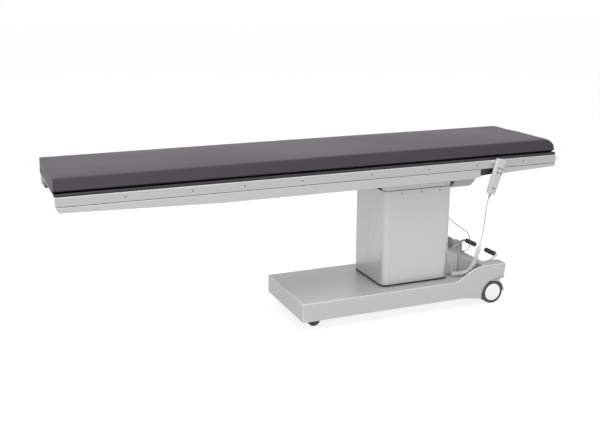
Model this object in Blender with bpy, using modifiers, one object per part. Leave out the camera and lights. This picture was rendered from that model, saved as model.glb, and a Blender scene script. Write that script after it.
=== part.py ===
"""Operating table: a one-piece carbon top with a long overhang, carried by an offset lifting column.

Lengths are in metres. In the table's own coordinates X runs along the top, +Y points away from the
handset side and Z is the height over the floor. X = 0 is the middle of the side rails and Y = 0 the
middle of the top. The root empty moves all of it so that the origin lies under the middle of the
whole object.
"""
import math

import bmesh
import bpy
from mathutils import Matrix, Vector

FIT = 0.0003            # gap between pieces that touch
CUT_MARGIN = 0.010      # how far a cutter runs past the face it opens

# Table top
TOP_LENGTH = 2.440      # side rails, end to end
TOP_WIDTH = 0.500       # over the outer faces of the side rails
RAIL_TOP_Z = 0.758      # upper edge of the side rails, top fully lowered
RAIL_HEIGHT = 0.0397
RAIL_THICKNESS = 0.012
RAIL_EDGE_RADIUS = 0.002
RAIL_SCREW_X = (-0.938, -0.654, -0.423, -0.155, 0.190, 0.490, 0.759, 1.027)
RAIL_SCREW_RADIUS = 0.0065
RAIL_SCREW_HEAD = 0.003
SCREW_SHANK_RADIUS = 0.0032
RAIL_STRIP_LENGTH = 2.200   # tapped strip let into the back of each rail
RAIL_STRIP_HEIGHT = 0.016
RAIL_STRIP_THICKNESS = 0.004
END_CAP_LENGTH = 0.024
END_CAP_HEIGHT = 0.032
END_CAP_DEPTH = 0.018
END_CAP_RADIUS = 0.008

BEAM_BOTTOM_Z = 0.672   # lower edge of the side beams between the two tapers
BEAM_TAPER_LEFT_X = -0.520
BEAM_LEFT_END_Z = 0.6925
BEAM_TAPER_RIGHT_X = 0.735
BEAM_RIGHT_END_Z = 0.700
BEAM_END_CHAMFER = 0.012
BEAM_BREAK_X = 0.782    # left end of the break in the light skin
BEAM_BREAK_LENGTH = 0.090
SKIN_EDGE_RADIUS = 0.004
CORE_THICKNESS = 0.012
CORE_INSET = 0.003      # core ends and lower edge behind those of the skin

CARBON_OVERHANG = 0.002     # past each end of the side rails
CARBON_WIDTH = 0.487
CARBON_THICKNESS = 0.0127
CARBON_EDGE_RADIUS = 0.003

PAD_LEFT_OVERHANG = 0.006   # past the left end of the side rails
PAD_RIGHT_SETBACK = 0.001   # short of their right end
PAD_THICKNESS = 0.0637
PAD_BASE_WIDTH = 0.484
PAD_TOP_WIDTH = 0.472
PAD_END_SLOPE_LENGTH = 0.040    # the right end falls away over this length
PAD_END_SLOPE_DROP = 0.030
PAD_EDGE_RADIUS = 0.009

# Slide under the top
CROSS_MEMBER_X = (-0.938, -0.423, 1.027)
CROSS_MEMBER_WIDTH = 0.060
CROSS_MEMBER_HEIGHT = 0.030
GUIDE_LENGTH = 0.800
GUIDE_SPACING = 0.140
GUIDE_WIDTH = 0.020
GUIDE_HEIGHT = 0.0077
BLOCK_LENGTH = 0.100
BLOCK_WIDTH = 0.048
BLOCK_SPACING = 0.300
BLOCK_ROOF = 0.004

# Tilt frame and cardan joint on the column
COLUMN_X = 0.491
PIVOT_Z = 0.675
TILT_FRAME_Z = 0.710    # underside
TILT_FRAME_THICKNESS = 0.008
TILT_FRAME_WIDTH = 0.180
EAR_RADIUS = 0.012
EAR_THICKNESS = 0.012
PITCH_EAR_INSIDE = 0.048
ROLL_EAR_INSIDE = 0.058
TRUNNION_RADIUS = 0.007
TRUNNION_CLEARANCE = 0.0001
CROSS_LENGTH = 0.080
CROSS_WIDTH = 0.090
CROSS_HEIGHT = 0.026

# Drive box under the tilt frame, beside the column
DRIVE_LEFT_X = 0.700
DRIVE_RIGHT_X = 0.820
DRIVE_BOTTOM_Z = 0.603
DRIVE_SLANT_LEFT = 0.024
DRIVE_SLANT_RIGHT = 0.026
DRIVE_SLANT_HEIGHT = 0.027
DRIVE_WIDTH = 0.220
DRIVE_EDGE_RADIUS = 0.004
DRIVE_KNOB_RADIUS = 0.011
DRIVE_KNOB_LENGTH = 0.018

# Column
COVER_X = 0.495         # middle of the cover, a little behind the lifting tubes
COVER_LENGTH = 0.376
COVER_WIDTH = 0.324
COVER_RADIUS = 0.032
COVER_WALL = 0.003
COVER_TOP_Z = 0.627
COVER_SEAM = 0.0012     # open joint between the two half shells
COVER_SCREW_X = (-0.092, 0.015, 0.119)
COVER_SCREW_DROP = 0.0145
COVER_SCREW_RADIUS = 0.0045
COVER_SCREW_HEAD = 0.002
COVER_STRIP_LENGTH = 0.250
COVER_STRIP_HEIGHT = 0.024
COVER_STRIP_THICKNESS = 0.004
COVER_LID_THICKNESS = 0.0045
SEAL_HEIGHT = 0.009
SEAL_INSET = 0.001
COLLAR_TOP_Z = 0.653    # light collar that stands on the head plate, over the cover
COLLAR_INSET = 0.002
COLLAR_WALL = 0.0035
COLLAR_FLOOR = 0.0048
COLLAR_GAP = 0.0022     # dark joint between cover and collar
COLLAR_NOTCH_Y = -0.105
COLLAR_NOTCH_WIDTH = 0.044
COLLAR_NOTCH_HEIGHT = 0.009
COLLAR_OPENING_WIDTH = 0.250    # the left wall is cut down so that the tilt frame can dip past it
COLLAR_OPENING_LIP = 0.0005
GUIDE_TUBE_LENGTH = 0.220
GUIDE_TUBE_WIDTH = 0.200
GUIDE_TUBE_TOP_Z = 0.600
TUBE_WALL = 0.008
TUBE_CLEARANCE = 0.0003
INNER_TUBE_BOTTOM_Z = 0.150
INNER_TUBE_TOP_Z = 0.620
LID_CLEARANCE = 0.002
HEAD_PLATE_THICKNESS = 0.012
ACTUATOR_RADIUS = 0.030
ACTUATOR_TOP_Z = 0.520
ACTUATOR_FLOOR = 0.030
ROD_RADIUS = 0.020

# Base
BASE_LEFT_X = -0.143
BASE_WIDTH = 0.466
BASE_TOP_Z = 0.146
BASE_BOTTOM_Z = 0.054
BASE_WALL = 0.004
BASE_EDGE_RADIUS = 0.003
PLATE_END_X = 0.702     # where the flat top plate ends
TAIL_X = 0.978
TAIL_TOP_Z = 0.214
SWELL_START_X = 0.691
SWELL_END_X = 0.849
SKIRT_KINK_X = 0.728
SKIRT_REAR_Z = 0.037    # the skirt comes lower towards the rear castor
ARCH_X = 0.841          # front of the opening for the rear castor
ARCH_RADIUS = 0.050
ARCH_CROWN_Z = 0.127
ARCH_REAR_Z = 0.155

CHASSIS_Z = 0.092
CHASSIS_THICKNESS = 0.012
CHASSIS_SETBACK = 0.002  # its end stops short of the rear cover's block

TRAY_THICKNESS = 0.005
REAR_FRONT_X = 0.846    # where the wall that faces the column meets the side walls
REAR_FRONT_PLAN = ((0.03, 0.25), (0.12, 0.52), (0.30, 0.76), (0.56, 0.92), (0.80, 0.985))   # shares of
                        # the way to the column and to the hood, from the side wall
REAR_EDGE_RADIUS = 0.005
BAY_X = 0.882           # wall behind the pedals
LOBE_WIDTH = 0.0667
LOBE_INNER_RADIUS = 0.014
LOBE_OUTER_RADIUS = 0.012
BAY_FILLET = 0.008
REAR_COVER_BOTTOM_Z = 0.054

HOOD_LENGTH = 0.0845
HOOD_WIDTH = 0.226
HOOD_FRONT_Z = 0.277    # against the column
HOOD_REAR_Z = 0.246
HOOD_EDGE_RADIUS = 0.006
HOOD_JOINT = 0.0022     # open joint between hood and rear cover

SOCKET_BOX_LENGTH = 0.043
SOCKET_BOX_WIDTH = 0.055
SOCKET_BOX_HEIGHT = 0.046
SOCKET_BOX_Y = 0.142
SOCKET_BOX_RADIUS = 0.006
SOCKET_SEAT_DEPTH = 0.0004
SEAT_OVERRUN = 0.001

# Pedals
PEDAL_SETBACK = 0.021   # shaft in front of the bay wall
PEDAL_SHAFT_Z = 0.180
PEDAL_SHAFT_RADIUS = 0.007
PEDAL_ARM_Y = 0.152
PEDAL_ARM_RADIUS = 0.006
PEDAL_ARM_REACH = 0.127
PEDAL_RISE = math.radians(23.7)
PEDAL_DROP = math.radians(40)   # travel from the raised to the pressed position
PEDAL_BEND_RADIUS = 0.014
GRIP_RADIUS = 0.0125
GRIP_LENGTH = 0.080
GRIP_RIB_PITCH = 0.0078
GRIP_RIB_DEPTH = 0.0012
PEDAL_SLOT_CLEARANCE = 0.003

# Castors: wheel radius, wheel width, hood width, trail, height of the mounting face
REAR_CASTOR_X = 0.945
REAR_CASTOR_Y = 0.194
REAR_WHEEL_RADIUS = 0.060
REAR_WHEEL_WIDTH = 0.018
REAR_HOOD_WIDTH = 0.018
REAR_TRAIL = 0.030
REAR_MOUNT_Z = 0.142
REAR_WELL_CLEARANCE = 0.014
FRONT_CASTOR_X = -0.033
FRONT_CASTOR_Y = 0.145
FRONT_WHEEL_RADIUS = 0.0325
FRONT_WHEEL_WIDTH = 0.012
FRONT_HOOD_WIDTH = 0.010
FRONT_TRAIL = 0.022
WHEEL_GAP = 0.0005
FENDER_GAP = 0.003      # between a rear tyre and the fender over it
FENDER_THICKNESS = 0.004
AXLE_RADIUS = 0.006
STEM_RADIUS = 0.011
STEM_LENGTH = 0.028
COLLAR_HEIGHT = 0.0055

# Handset on the near rail
HANDSET_X = 0.885
HANDSET_TILT = math.radians(18)
HANDSET_LENGTH = 0.176
HANDSET_TOP_WIDTH = 0.050
HANDSET_FOOT_WIDTH = 0.041
HANDSET_THICKNESS = 0.024
HANDSET_CORNER = 0.010
HANDSET_EDGE_RADIUS = 0.004
HANDSET_TOP_Z = 0.762
BRACKET_WIDTH = 0.048
BRACKET_DROP = 0.050
BRACKET_THICKNESS = 0.0027
BUTTON_RADIUS = 0.0042
BUTTON_HEIGHT = 0.0012
BUTTON_DEPTH = 0.005
BUTTON_CLEARANCE = 0.0004
BUTTON_TRAVEL = 0.001
BUTTON_SPACING_X = 0.0195
BUTTON_SPACING_Z = 0.0205
BUTTON_DROP = 0.046
BUTTON_SHIFT = 0.003    # the buttons stand a little right of the middle
SLOT_DROP = 0.146       # shallow slot near the foot
SLOT_LENGTH = 0.019
SLOT_HEIGHT = 0.0045
SLOT_DEPTH = 0.0015
RELIEF_LENGTH = 0.022
RELIEF_RADIUS = 0.005

# Cords
CORD_RADIUS = 0.0025
COIL_RADIUS = 0.0125
AUX_CORD_RADIUS = 0.002
GLAND_RADIUS = 0.007
GLAND_LENGTH = 0.006
HANDSET_CORD_ROUTE = (
    (0.8165, -0.264, 0.538), (0.8145, -0.262, 0.505), (0.814, -0.258, 0.460), (0.814, -0.250, 0.410),
    (0.8135, -0.241, 0.372),
)
COIL_ROUTE = (
    (0.813, -0.236, 0.349), (0.811, -0.224, 0.300), (0.808, -0.209, 0.252), (0.805, -0.197, 0.219),
    (0.799, -0.184, 0.191), (0.788, -0.170, 0.171), (0.770, -0.159, 0.1615), (0.742, -0.152, 0.1595),
    (0.711, -0.147, 0.1595),
)
LEAD_ROUTE = (
    (0.7072, -0.137, 0.1600), (0.7075, -0.1365, 0.172), (0.710, -0.1355, 0.186), (0.714, -0.1335, 0.197),
    (0.719, -0.1300, 0.204),
)
AUX_CORD_ROUTE = (
    (0.714, -0.113, 0.436), (0.747, -0.098, 0.411), (0.816, -0.070, 0.367), (0.864, -0.045, 0.331),
    (0.892, -0.025, 0.290), (0.901, -0.014, 0.258), (0.900, -0.009, 0.241), (0.892, -0.006, 0.2275),
)
AUX_EXIT_Y = -0.120
AUX_EXIT_Z = 0.448
AUX_ENTRY_X = 0.861
AUX_ENTRY_Y = -0.005
ELBOW_HEIGHT = 0.0125
ELBOW_LENGTH = 0.012
ELBOW_RADIUS = 0.0045
LEAD_ENTRY_X = 0.721
LEAD_ENTRY_Z = 0.206

ROUND_SEGMENTS = 20
WHEEL_SEGMENTS = 32
SMALL_SEGMENTS = 12
CORNER_SEGMENTS = 6

# Colours: base colour, metallic, roughness
LIGHT_METAL = ((0.56, 0.56, 0.56), 0.2, 0.35)
STEEL = ((0.55, 0.55, 0.56), 0.9, 0.30)
GREY_PLASTIC = ((0.36, 0.36, 0.37), 0.0, 0.45)
PALE_PLASTIC = ((0.78, 0.78, 0.77), 0.0, 0.40)
HANDSET_PLASTIC = ((0.62, 0.62, 0.61), 0.0, 0.45)
BLACK_CARBON = ((0.012, 0.012, 0.014), 0.0, 0.30)
BLACK_METAL = ((0.03, 0.03, 0.032), 0.3, 0.45)
RUBBER = ((0.03, 0.03, 0.032), 0.0, 0.70)
PAD_VINYL = ((0.13, 0.115, 0.125), 0.0, 0.55)
CORD_PLASTIC = ((0.60, 0.60, 0.58), 0.0, 0.50)

# Levels and places that follow from the sizes above
HALF_LENGTH = TOP_LENGTH / 2
CARBON_LENGTH = TOP_LENGTH + 2 * CARBON_OVERHANG
PAD_LEFT_X = -HALF_LENGTH - PAD_LEFT_OVERHANG
PAD_RIGHT_X = HALF_LENGTH - PAD_RIGHT_SETBACK
HALF_WIDTH = TOP_WIDTH / 2
RAIL_BOTTOM_Z = RAIL_TOP_Z - RAIL_HEIGHT
RAIL_INNER_Y = HALF_WIDTH - RAIL_THICKNESS
RAIL_MIDDLE_Z = RAIL_TOP_Z - RAIL_HEIGHT / 2
SKIN_TOP_Z = RAIL_BOTTOM_Z - 2 * FIT
CORE_OUTER_Y = RAIL_INNER_Y - FIT
CORE_INNER_Y = CORE_OUTER_Y - CORE_THICKNESS
CARBON_Z = RAIL_TOP_Z + FIT
PAD_Z = CARBON_Z + CARBON_THICKNESS + FIT
CROSS_MEMBER_TOP_Z = RAIL_TOP_Z - FIT
CROSS_MEMBER_Z = CROSS_MEMBER_TOP_Z - CROSS_MEMBER_HEIGHT
GUIDE_Z = TILT_FRAME_Z + TILT_FRAME_THICKNESS
BLOCK_TOP_Z = CROSS_MEMBER_Z + BLOCK_ROOF / 2
END_CAP_X = HALF_LENGTH + FIT
SEAL_Z = BASE_TOP_Z + FIT
COVER_Z = SEAL_Z + SEAL_HEIGHT + FIT
CHASSIS_TOP_Z = CHASSIS_Z + CHASSIS_THICKNESS
SOCKET_SEAT_Z = TAIL_TOP_Z - SOCKET_SEAT_DEPTH
LID_Z = COVER_TOP_Z - COVER_LID_THICKNESS - 5 * FIT
INNER_Y = BASE_WIDTH / 2 - BASE_WALL
INNER_TUBE_LENGTH = GUIDE_TUBE_LENGTH - 2 * (TUBE_WALL + TUBE_CLEARANCE)
INNER_TUBE_WIDTH = GUIDE_TUBE_WIDTH - 2 * (TUBE_WALL + TUBE_CLEARANCE)
HEAD_Z = INNER_TUBE_TOP_Z + FIT
COVER_RIGHT_X = COVER_X + COVER_LENGTH / 2
COLLAR_Z = COVER_TOP_Z + COLLAR_GAP
HOOD_X = COVER_RIGHT_X + FIT
HOOD_END_X = HOOD_X + HOOD_LENGTH
REAR_BLOCK_X = HOOD_END_X + HOOD_JOINT
CHASSIS_END_X = REAR_BLOCK_X - CHASSIS_SETBACK
PEDAL_SHAFT_X = BAY_X - PEDAL_SETBACK
ELBOW_Z = TAIL_TOP_Z + ELBOW_HEIGHT * 0.6
BRACKET_Y = -HALF_WIDTH - FIT
HANDSET_BACK_Y = BRACKET_Y - BRACKET_THICKNESS - FIT
HANDSET_FRONT_Y = HANDSET_BACK_Y - HANDSET_THICKNESS
ORIGIN_X = (PAD_LEFT_X + END_CAP_X + END_CAP_LENGTH) / 2
ORIGIN_Y = (HANDSET_FRONT_Y - BUTTON_HEIGHT + HALF_WIDTH) / 2

AXES = {
    "XY": Matrix.Identity(4),
    "XZ": Matrix.Rotation(math.radians(90), 4, "X"),
    "YZ": Matrix(((0, 0, 1, 0), (1, 0, 0, 0), (0, 1, 0, 0), (0, 0, 0, 1))),
}
ALONG = {"X": "YZ", "Y": "XZ", "Z": "XY"}


class Space:
    """An empty that carries pieces, and where it stands in table coordinates."""

    def __init__(self, name, at, parent=None, rotation=(0.0, 0.0, 0.0)):
        self.at = Vector(at)
        self.empty = bpy.data.objects.new(name, None)
        self.empty.empty_display_size = 0.05
        self.empty.rotation_euler = rotation
        parts.objects.link(self.empty)
        if parent:
            self.empty.parent = parent.empty
            self.empty.location = self.at - parent.at
        else:
            self.empty.location = self.at


def clear_scene():
    for old in list(bpy.data.objects):
        bpy.data.objects.remove(old, do_unlink=True)


def finish(obj, look):
    """Give a piece its own material."""
    colour, metallic, roughness = look
    material = bpy.data.materials.new(obj.name)
    material.use_nodes = True
    shader = material.node_tree.nodes["Principled BSDF"]
    shader.inputs["Base Color"].default_value = (*colour, 1.0)
    shader.inputs["Metallic"].default_value = metallic
    shader.inputs["Roughness"].default_value = roughness
    obj.data.materials.append(material)


def place(obj, space, at, look=None):
    """Put an object at a point in table coordinates, carried by a space; a cutter has no look."""
    obj.parent = space.empty
    obj.location = Vector(at) - space.at
    if look is None:
        cutters.objects.link(obj)
        obj.hide_render = True
        obj.display_type = "WIRE"
    else:
        parts.objects.link(obj)
        finish(obj, look)
    return obj


def mesh_object(name, bm):
    mesh = bpy.data.meshes.new(name)
    bm.to_mesh(mesh)
    bm.free()
    return bpy.data.objects.new(name, mesh)


def smooth(obj, angle=35):
    obj.data.shade_smooth()
    obj.data.set_sharp_from_angle(angle=math.radians(angle))
    return obj


def round_edges(obj, radius, segments=2, angle=40):
    bevel = obj.modifiers.new("rounded edges", "BEVEL")
    bevel.width = radius
    bevel.segments = segments
    bevel.limit_method = "ANGLE"
    bevel.angle_limit = math.radians(angle)
    return obj


def boolean(target, tool, operation):
    step = target.modifiers.new(operation.lower(), "BOOLEAN")
    step.operation = operation
    step.solver = "EXACT"
    step.object = tool
    return target


def cut(target, tool):
    return boolean(target, tool, "DIFFERENCE")


def join(target, tool):
    return boolean(target, tool, "UNION")


def box(name, space, low, high, look=None, radius=0.0, segments=2):
    """Box between two corners, its edges rounded."""
    low, high = Vector(low), Vector(high)
    bm = bmesh.new()
    bmesh.ops.create_cube(bm, size=1.0)
    bmesh.ops.scale(bm, vec=high - low, verts=bm.verts)
    obj = place(mesh_object(name, bm), space, (low + high) / 2, look)
    return round_edges(obj, radius, segments) if radius else obj


def cylinder(name, space, centre, radius, length, axis, look=None, segments=ROUND_SEGMENTS):
    bm = bmesh.new()
    bmesh.ops.create_cone(bm, cap_ends=True, segments=segments, radius1=radius, radius2=radius, depth=length)
    bm.transform(AXES[ALONG[axis]])
    return place(smooth(mesh_object(name, bm)), space, centre, look)


def outline_bmesh(loops, thickness, plane):
    """Welded mesh of a flat outline, drawn as a filled curve and given a thickness."""
    curve = bpy.data.curves.new("outline", "CURVE")
    curve.dimensions = "2D"
    curve.fill_mode = "BOTH"
    curve.extrude = thickness / 2
    for loop in loops:
        spline = curve.splines.new("POLY")
        spline.points.add(len(loop) - 1)
        spline.use_cyclic_u = True
        for point, (a, b) in zip(spline.points, loop):
            point.co = (a, b, 0.0, 1.0)
    drawn = bpy.data.objects.new("outline", curve)
    cutters.objects.link(drawn)
    view = bpy.context.evaluated_depsgraph_get()
    mesh = bpy.data.meshes.new_from_object(drawn.evaluated_get(view))
    bpy.data.objects.remove(drawn, do_unlink=True)
    bm = bmesh.new()
    bm.from_mesh(mesh)
    bmesh.ops.remove_doubles(bm, verts=bm.verts, dist=0.000001)
    bmesh.ops.dissolve_limit(bm, angle_limit=0.001, verts=bm.verts, edges=bm.edges)
    bm.transform(AXES[plane])
    bpy.data.meshes.remove(mesh)
    bpy.data.curves.remove(curve)
    return bm


def prism(name, space, loops, low, high, plane, look=None, radius=0.0, segments=2):
    """Solid of an outline in a plane through the table origin, from low to high across that plane."""
    if not isinstance(loops[0][0], tuple):
        loops = (loops,)
    bm = outline_bmesh(loops, high - low, plane)
    middle = (low + high) / 2
    centre = {"XY": (0, 0, middle), "XZ": (0, middle, 0), "YZ": (middle, 0, 0)}[plane]
    obj = place(mesh_object(name, bm), space, centre, look)
    return round_edges(obj, radius, segments) if radius else obj


def turned(name, space, at, profile, axis, look=None, closed=False, flip=False, segments=ROUND_SEGMENTS):
    """Turned shape: a profile of (radius, height) pairs that runs down its outer side."""
    bm = bmesh.new()
    verts = [bm.verts.new((radius, 0.0, height)) for radius, height in profile]
    for first, second in zip(verts, verts[1:]):
        bm.edges.new((first, second))
    if closed:
        bm.edges.new((verts[-1], verts[0]))
    obj = place(mesh_object(name, bm), space, at, look)
    screw = obj.modifiers.new("turned", "SCREW")
    screw.axis = "Z"
    screw.steps = screw.render_steps = segments
    screw.use_merge_vertices = True
    screw.merge_threshold = 0.00001
    screw.use_smooth_shade = True
    turn = {"X": (0, math.pi / 2, 0), "Y": (-math.pi / 2, 0, 0), "Z": (0, 0, 0)}[axis]
    obj.rotation_euler = turn
    if flip:
        obj.rotation_euler = {"Y": (math.pi / 2, 0, 0), "Z": (math.pi, 0, 0), "X": (0, -math.pi / 2, 0)}[axis]
    return obj


def tube(name, space, points, radius, look, resolution=2):
    """Round tube through points in table coordinates, or in the space's own where it is turned."""
    curve = bpy.data.curves.new(name, "CURVE")
    curve.dimensions = "3D"
    curve.bevel_depth = radius
    curve.bevel_resolution = resolution
    curve.use_fill_caps = True
    spline = curve.splines.new("POLY")
    spline.points.add(len(points) - 1)
    start = Vector(points[0])
    for point, at in zip(spline.points, points):
        point.co = (*(Vector(at) - start), 1.0)
    return place(bpy.data.objects.new(name, curve), space, start, look)


def welded(obj):
    """Turn a tube into a closed mesh, so that it can be cut or joined."""
    view = bpy.context.evaluated_depsgraph_get()
    mesh = bpy.data.meshes.new_from_object(obj.evaluated_get(view))
    bm = bmesh.new()
    bm.from_mesh(mesh)
    bmesh.ops.remove_doubles(bm, verts=bm.verts, dist=0.00001)
    bm.to_mesh(mesh)
    bm.free()
    solid = bpy.data.objects.new(obj.name + " solid", mesh)
    solid.parent = obj.parent
    solid.location = obj.location
    cutters.objects.link(solid)
    solid.hide_render = True
    solid.display_type = "WIRE"
    bpy.data.objects.remove(obj, do_unlink=True)
    return solid


def grouped(name, space, pieces):
    """Several finished pieces as one cutter, or as one shape to be joined on."""
    bpy.context.view_layer.update()
    view = bpy.context.evaluated_depsgraph_get()
    bm = bmesh.new()
    for piece in pieces:
        mesh = bpy.data.meshes.new_from_object(piece.evaluated_get(view))
        mesh.transform(space.empty.matrix_world.inverted() @ piece.matrix_world)
        bm.from_mesh(mesh)
        bpy.data.meshes.remove(mesh)
    for piece in pieces:
        bpy.data.objects.remove(piece, do_unlink=True)
    return place(mesh_object(name, bm), space, space.at)


def smooth_route(route, spacing):
    """Points about a spacing apart on a smooth curve through a cord's own points."""
    knots = [Vector(p) for p in route]
    knots = [2 * knots[0] - knots[1]] + knots + [2 * knots[-1] - knots[-2]]
    points = [knots[1]]
    for a, b, c, d in zip(knots, knots[1:], knots[2:], knots[3:]):
        count = max(1, round((c - b).length / spacing))
        for step in range(1, count + 1):
            t = step / count
            points.append(0.5 * (2 * b + (c - a) * t + (2 * a - 5 * b + 4 * c - d) * t * t
                                 + (3 * b - a - 3 * c + d) * t ** 3))
    return points


def arc(centre, radius, start, end, count=CORNER_SEGMENTS):
    """Points on an arc, angles in degrees."""
    angles = [math.radians(start + (end - start) * i / count) for i in range(count + 1)]
    return [(centre[0] + radius * math.cos(a), centre[1] + radius * math.sin(a)) for a in angles]


def rounded_rectangle(centre, length, width, radius, count=CORNER_SEGMENTS):
    x, y = length / 2 - radius, width / 2 - radius
    loop = []
    for sign_x, sign_y, start in ((1, -1, -90), (1, 1, 0), (-1, 1, 90), (-1, -1, 180)):
        loop += arc((centre[0] + sign_x * x, centre[1] + sign_y * y), radius, start, start + 90, count)
    return loop


def rectangle(left, right, low, high):
    return [(left, low), (right, low), (right, high), (left, high)]


def beam_lower_edge(x):
    """Height of the side beam's lower edge, which rises to both ends of the top."""
    if x < BEAM_TAPER_LEFT_X:
        share = (BEAM_TAPER_LEFT_X - x) / (BEAM_TAPER_LEFT_X + HALF_LENGTH)
        return BEAM_BOTTOM_Z + share * (BEAM_LEFT_END_Z - BEAM_BOTTOM_Z)
    if x > BEAM_TAPER_RIGHT_X:
        share = (x - BEAM_TAPER_RIGHT_X) / (HALF_LENGTH - BEAM_TAPER_RIGHT_X)
        return BEAM_BOTTOM_Z + share ** 0.6 * (BEAM_RIGHT_END_Z - BEAM_BOTTOM_Z)
    return BEAM_BOTTOM_Z


def beam_outline(left, right, top, lift=0.0, chamfer=0.0):
    """Side view of a length of beam between two places along the top."""
    taper = [BEAM_TAPER_RIGHT_X + i * (HALF_LENGTH - BEAM_TAPER_RIGHT_X) / 8 for i in range(9)]
    stations = sorted({left, right, BEAM_TAPER_LEFT_X, *taper})
    lower = [(x, beam_lower_edge(x) + lift) for x in stations if left <= x <= right]
    if chamfer:
        lower[0] = (left + chamfer, lower[0][1])
    return lower + [(right, top), (left, top)]


def sides():
    """Near side first, then the far side."""
    return (("near", -1), ("far", 1))


def span(sign, inner, outer):
    """Low and high Y of something between two distances from the middle, on one side."""
    return (inner, outer) if sign > 0 else (-outer, -inner)


# The top

def build_rails(space):
    """Side rails, each with its screws and tapped strip, and the caps on the right ends."""
    for side, sign in sides():
        low, high = span(sign, RAIL_INNER_Y, HALF_WIDTH)
        rail = box(f"side_rail_{side}", space, (-HALF_LENGTH, low, RAIL_BOTTOM_Z), (HALF_LENGTH, high, RAIL_TOP_Z),
                   LIGHT_METAL, RAIL_EDGE_RADIUS)
        strip = rail_strip(f"rail_screws_{side}", space, sign, 0.0, STEEL)
        join(strip, rail_screw_row(space, sign, 0.0))
        cut(rail, rail_strip(f"strip groove {side}", space, sign, FIT))
        cut(rail, rail_screw_row(space, sign, FIT))
        cap_low, cap_high = span(sign, HALF_WIDTH - END_CAP_DEPTH, HALF_WIDTH)
        box(f"rail_end_cap_{side}", space, (END_CAP_X, cap_low, RAIL_TOP_Z - END_CAP_HEIGHT),
            (END_CAP_X + END_CAP_LENGTH, cap_high, RAIL_TOP_Z), PALE_PLASTIC, END_CAP_RADIUS, 3)


def rail_strip(name, space, sign, clearance, look=None):
    """Tapped strip behind a rail, or the groove for it, which is open towards the beam."""
    inner = RAIL_INNER_Y - (CUT_MARGIN if clearance else 0.0)
    low, high = span(sign, inner, RAIL_INNER_Y + RAIL_STRIP_THICKNESS + clearance)
    half_length = RAIL_STRIP_LENGTH / 2 + clearance
    half_height = RAIL_STRIP_HEIGHT / 2 + clearance
    return box(name, space, (-half_length, low, RAIL_MIDDLE_Z - half_height), (half_length, high, RAIL_MIDDLE_Z + half_height),
               look)


def rail_screw_row(space, sign, clearance):
    """The row of countersunk screws in a rail, or the holes for them."""
    face = HALF_WIDTH + (CUT_MARGIN if clearance else -FIT)
    head_under = HALF_WIDTH - FIT - RAIL_SCREW_HEAD
    shank_end = RAIL_INNER_Y + RAIL_STRIP_THICKNESS / 2
    profile = [(0, face), (RAIL_SCREW_RADIUS + clearance, face), (RAIL_SCREW_RADIUS + clearance, head_under),
               (SCREW_SHANK_RADIUS + clearance, head_under - RAIL_SCREW_HEAD / 2),
               (SCREW_SHANK_RADIUS + clearance, shank_end), (0, shank_end)]
    row = [turned("rail screw", space, (x, 0, RAIL_MIDDLE_Z), profile, "Y", segments=SMALL_SEGMENTS, flip=sign < 0)
           for x in RAIL_SCREW_X]
    return grouped("rail screw row", space, row)


def build_beams(space):
    """Frame of two beam cores and the bars between them, and the light skins on its outer faces."""
    core = beam_outline(-HALF_LENGTH + BEAM_END_CHAMFER + CORE_INSET, HALF_LENGTH - CORE_INSET, RAIL_TOP_Z - FIT,
                        CORE_INSET)
    frame = prism("top_frame", space, core, *span(-1, CORE_INNER_Y, CORE_OUTER_Y), "XZ", BLACK_METAL)
    join(frame, prism("far core", space, core, *span(1, CORE_INNER_Y, CORE_OUTER_Y), "XZ"))
    for x in CROSS_MEMBER_X:
        join(frame, cross_bar("cross bar", space, x, CORE_INNER_Y + CORE_THICKNESS / 2))
    break_end = BEAM_BREAK_X + BEAM_BREAK_LENGTH
    for side, sign in sides():
        low, high = span(sign, RAIL_INNER_Y, HALF_WIDTH)
        left = beam_outline(-HALF_LENGTH, BEAM_BREAK_X, SKIN_TOP_Z, chamfer=BEAM_END_CHAMFER)
        right = beam_outline(break_end, HALF_LENGTH, SKIN_TOP_Z)
        prism(f"beam_skin_long_{side}", space, left, low, high, "XZ", LIGHT_METAL, SKIN_EDGE_RADIUS, 2)
        prism(f"beam_skin_short_{side}", space, right, low, high, "XZ", LIGHT_METAL, SKIN_EDGE_RADIUS, 2)


def cross_bar(name, space, x, half_width, look=None):
    half = CROSS_MEMBER_WIDTH / 2
    return box(name, space, (x - half, -half_width, CROSS_MEMBER_Z), (x + half, half_width, CROSS_MEMBER_TOP_Z), look)


def build_carbon_top(space):
    half = CARBON_WIDTH / 2
    box("carbon_top", space, (-CARBON_LENGTH / 2, -half, CARBON_Z), (CARBON_LENGTH / 2, half, CARBON_Z + CARBON_THICKNESS),
        BLACK_CARBON, CARBON_EDGE_RADIUS)


def build_mattress(space):
    """Long pad with slanted sides, whose right end falls away."""
    top = PAD_Z + PAD_THICKNESS
    knee = top - PAD_END_SLOPE_DROP
    profile = [(PAD_LEFT_X, PAD_Z), (PAD_RIGHT_X, PAD_Z), (PAD_RIGHT_X - PAD_END_SLOPE_LENGTH / 8, knee),
               (PAD_RIGHT_X - PAD_END_SLOPE_LENGTH, top), (PAD_LEFT_X, top)]
    bm = outline_bmesh((profile,), PAD_BASE_WIDTH, "XZ")
    for vert in bm.verts:
        share = (vert.co.z - PAD_Z) / PAD_THICKNESS
        vert.co.y *= 1 + share * (PAD_TOP_WIDTH / PAD_BASE_WIDTH - 1)
    pad = place(mesh_object("mattress", bm), space, (0, 0, 0), PAD_VINYL)
    round_edges(pad, PAD_EDGE_RADIUS, 3)


# Slide, tilt frame and cardan joint

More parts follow.
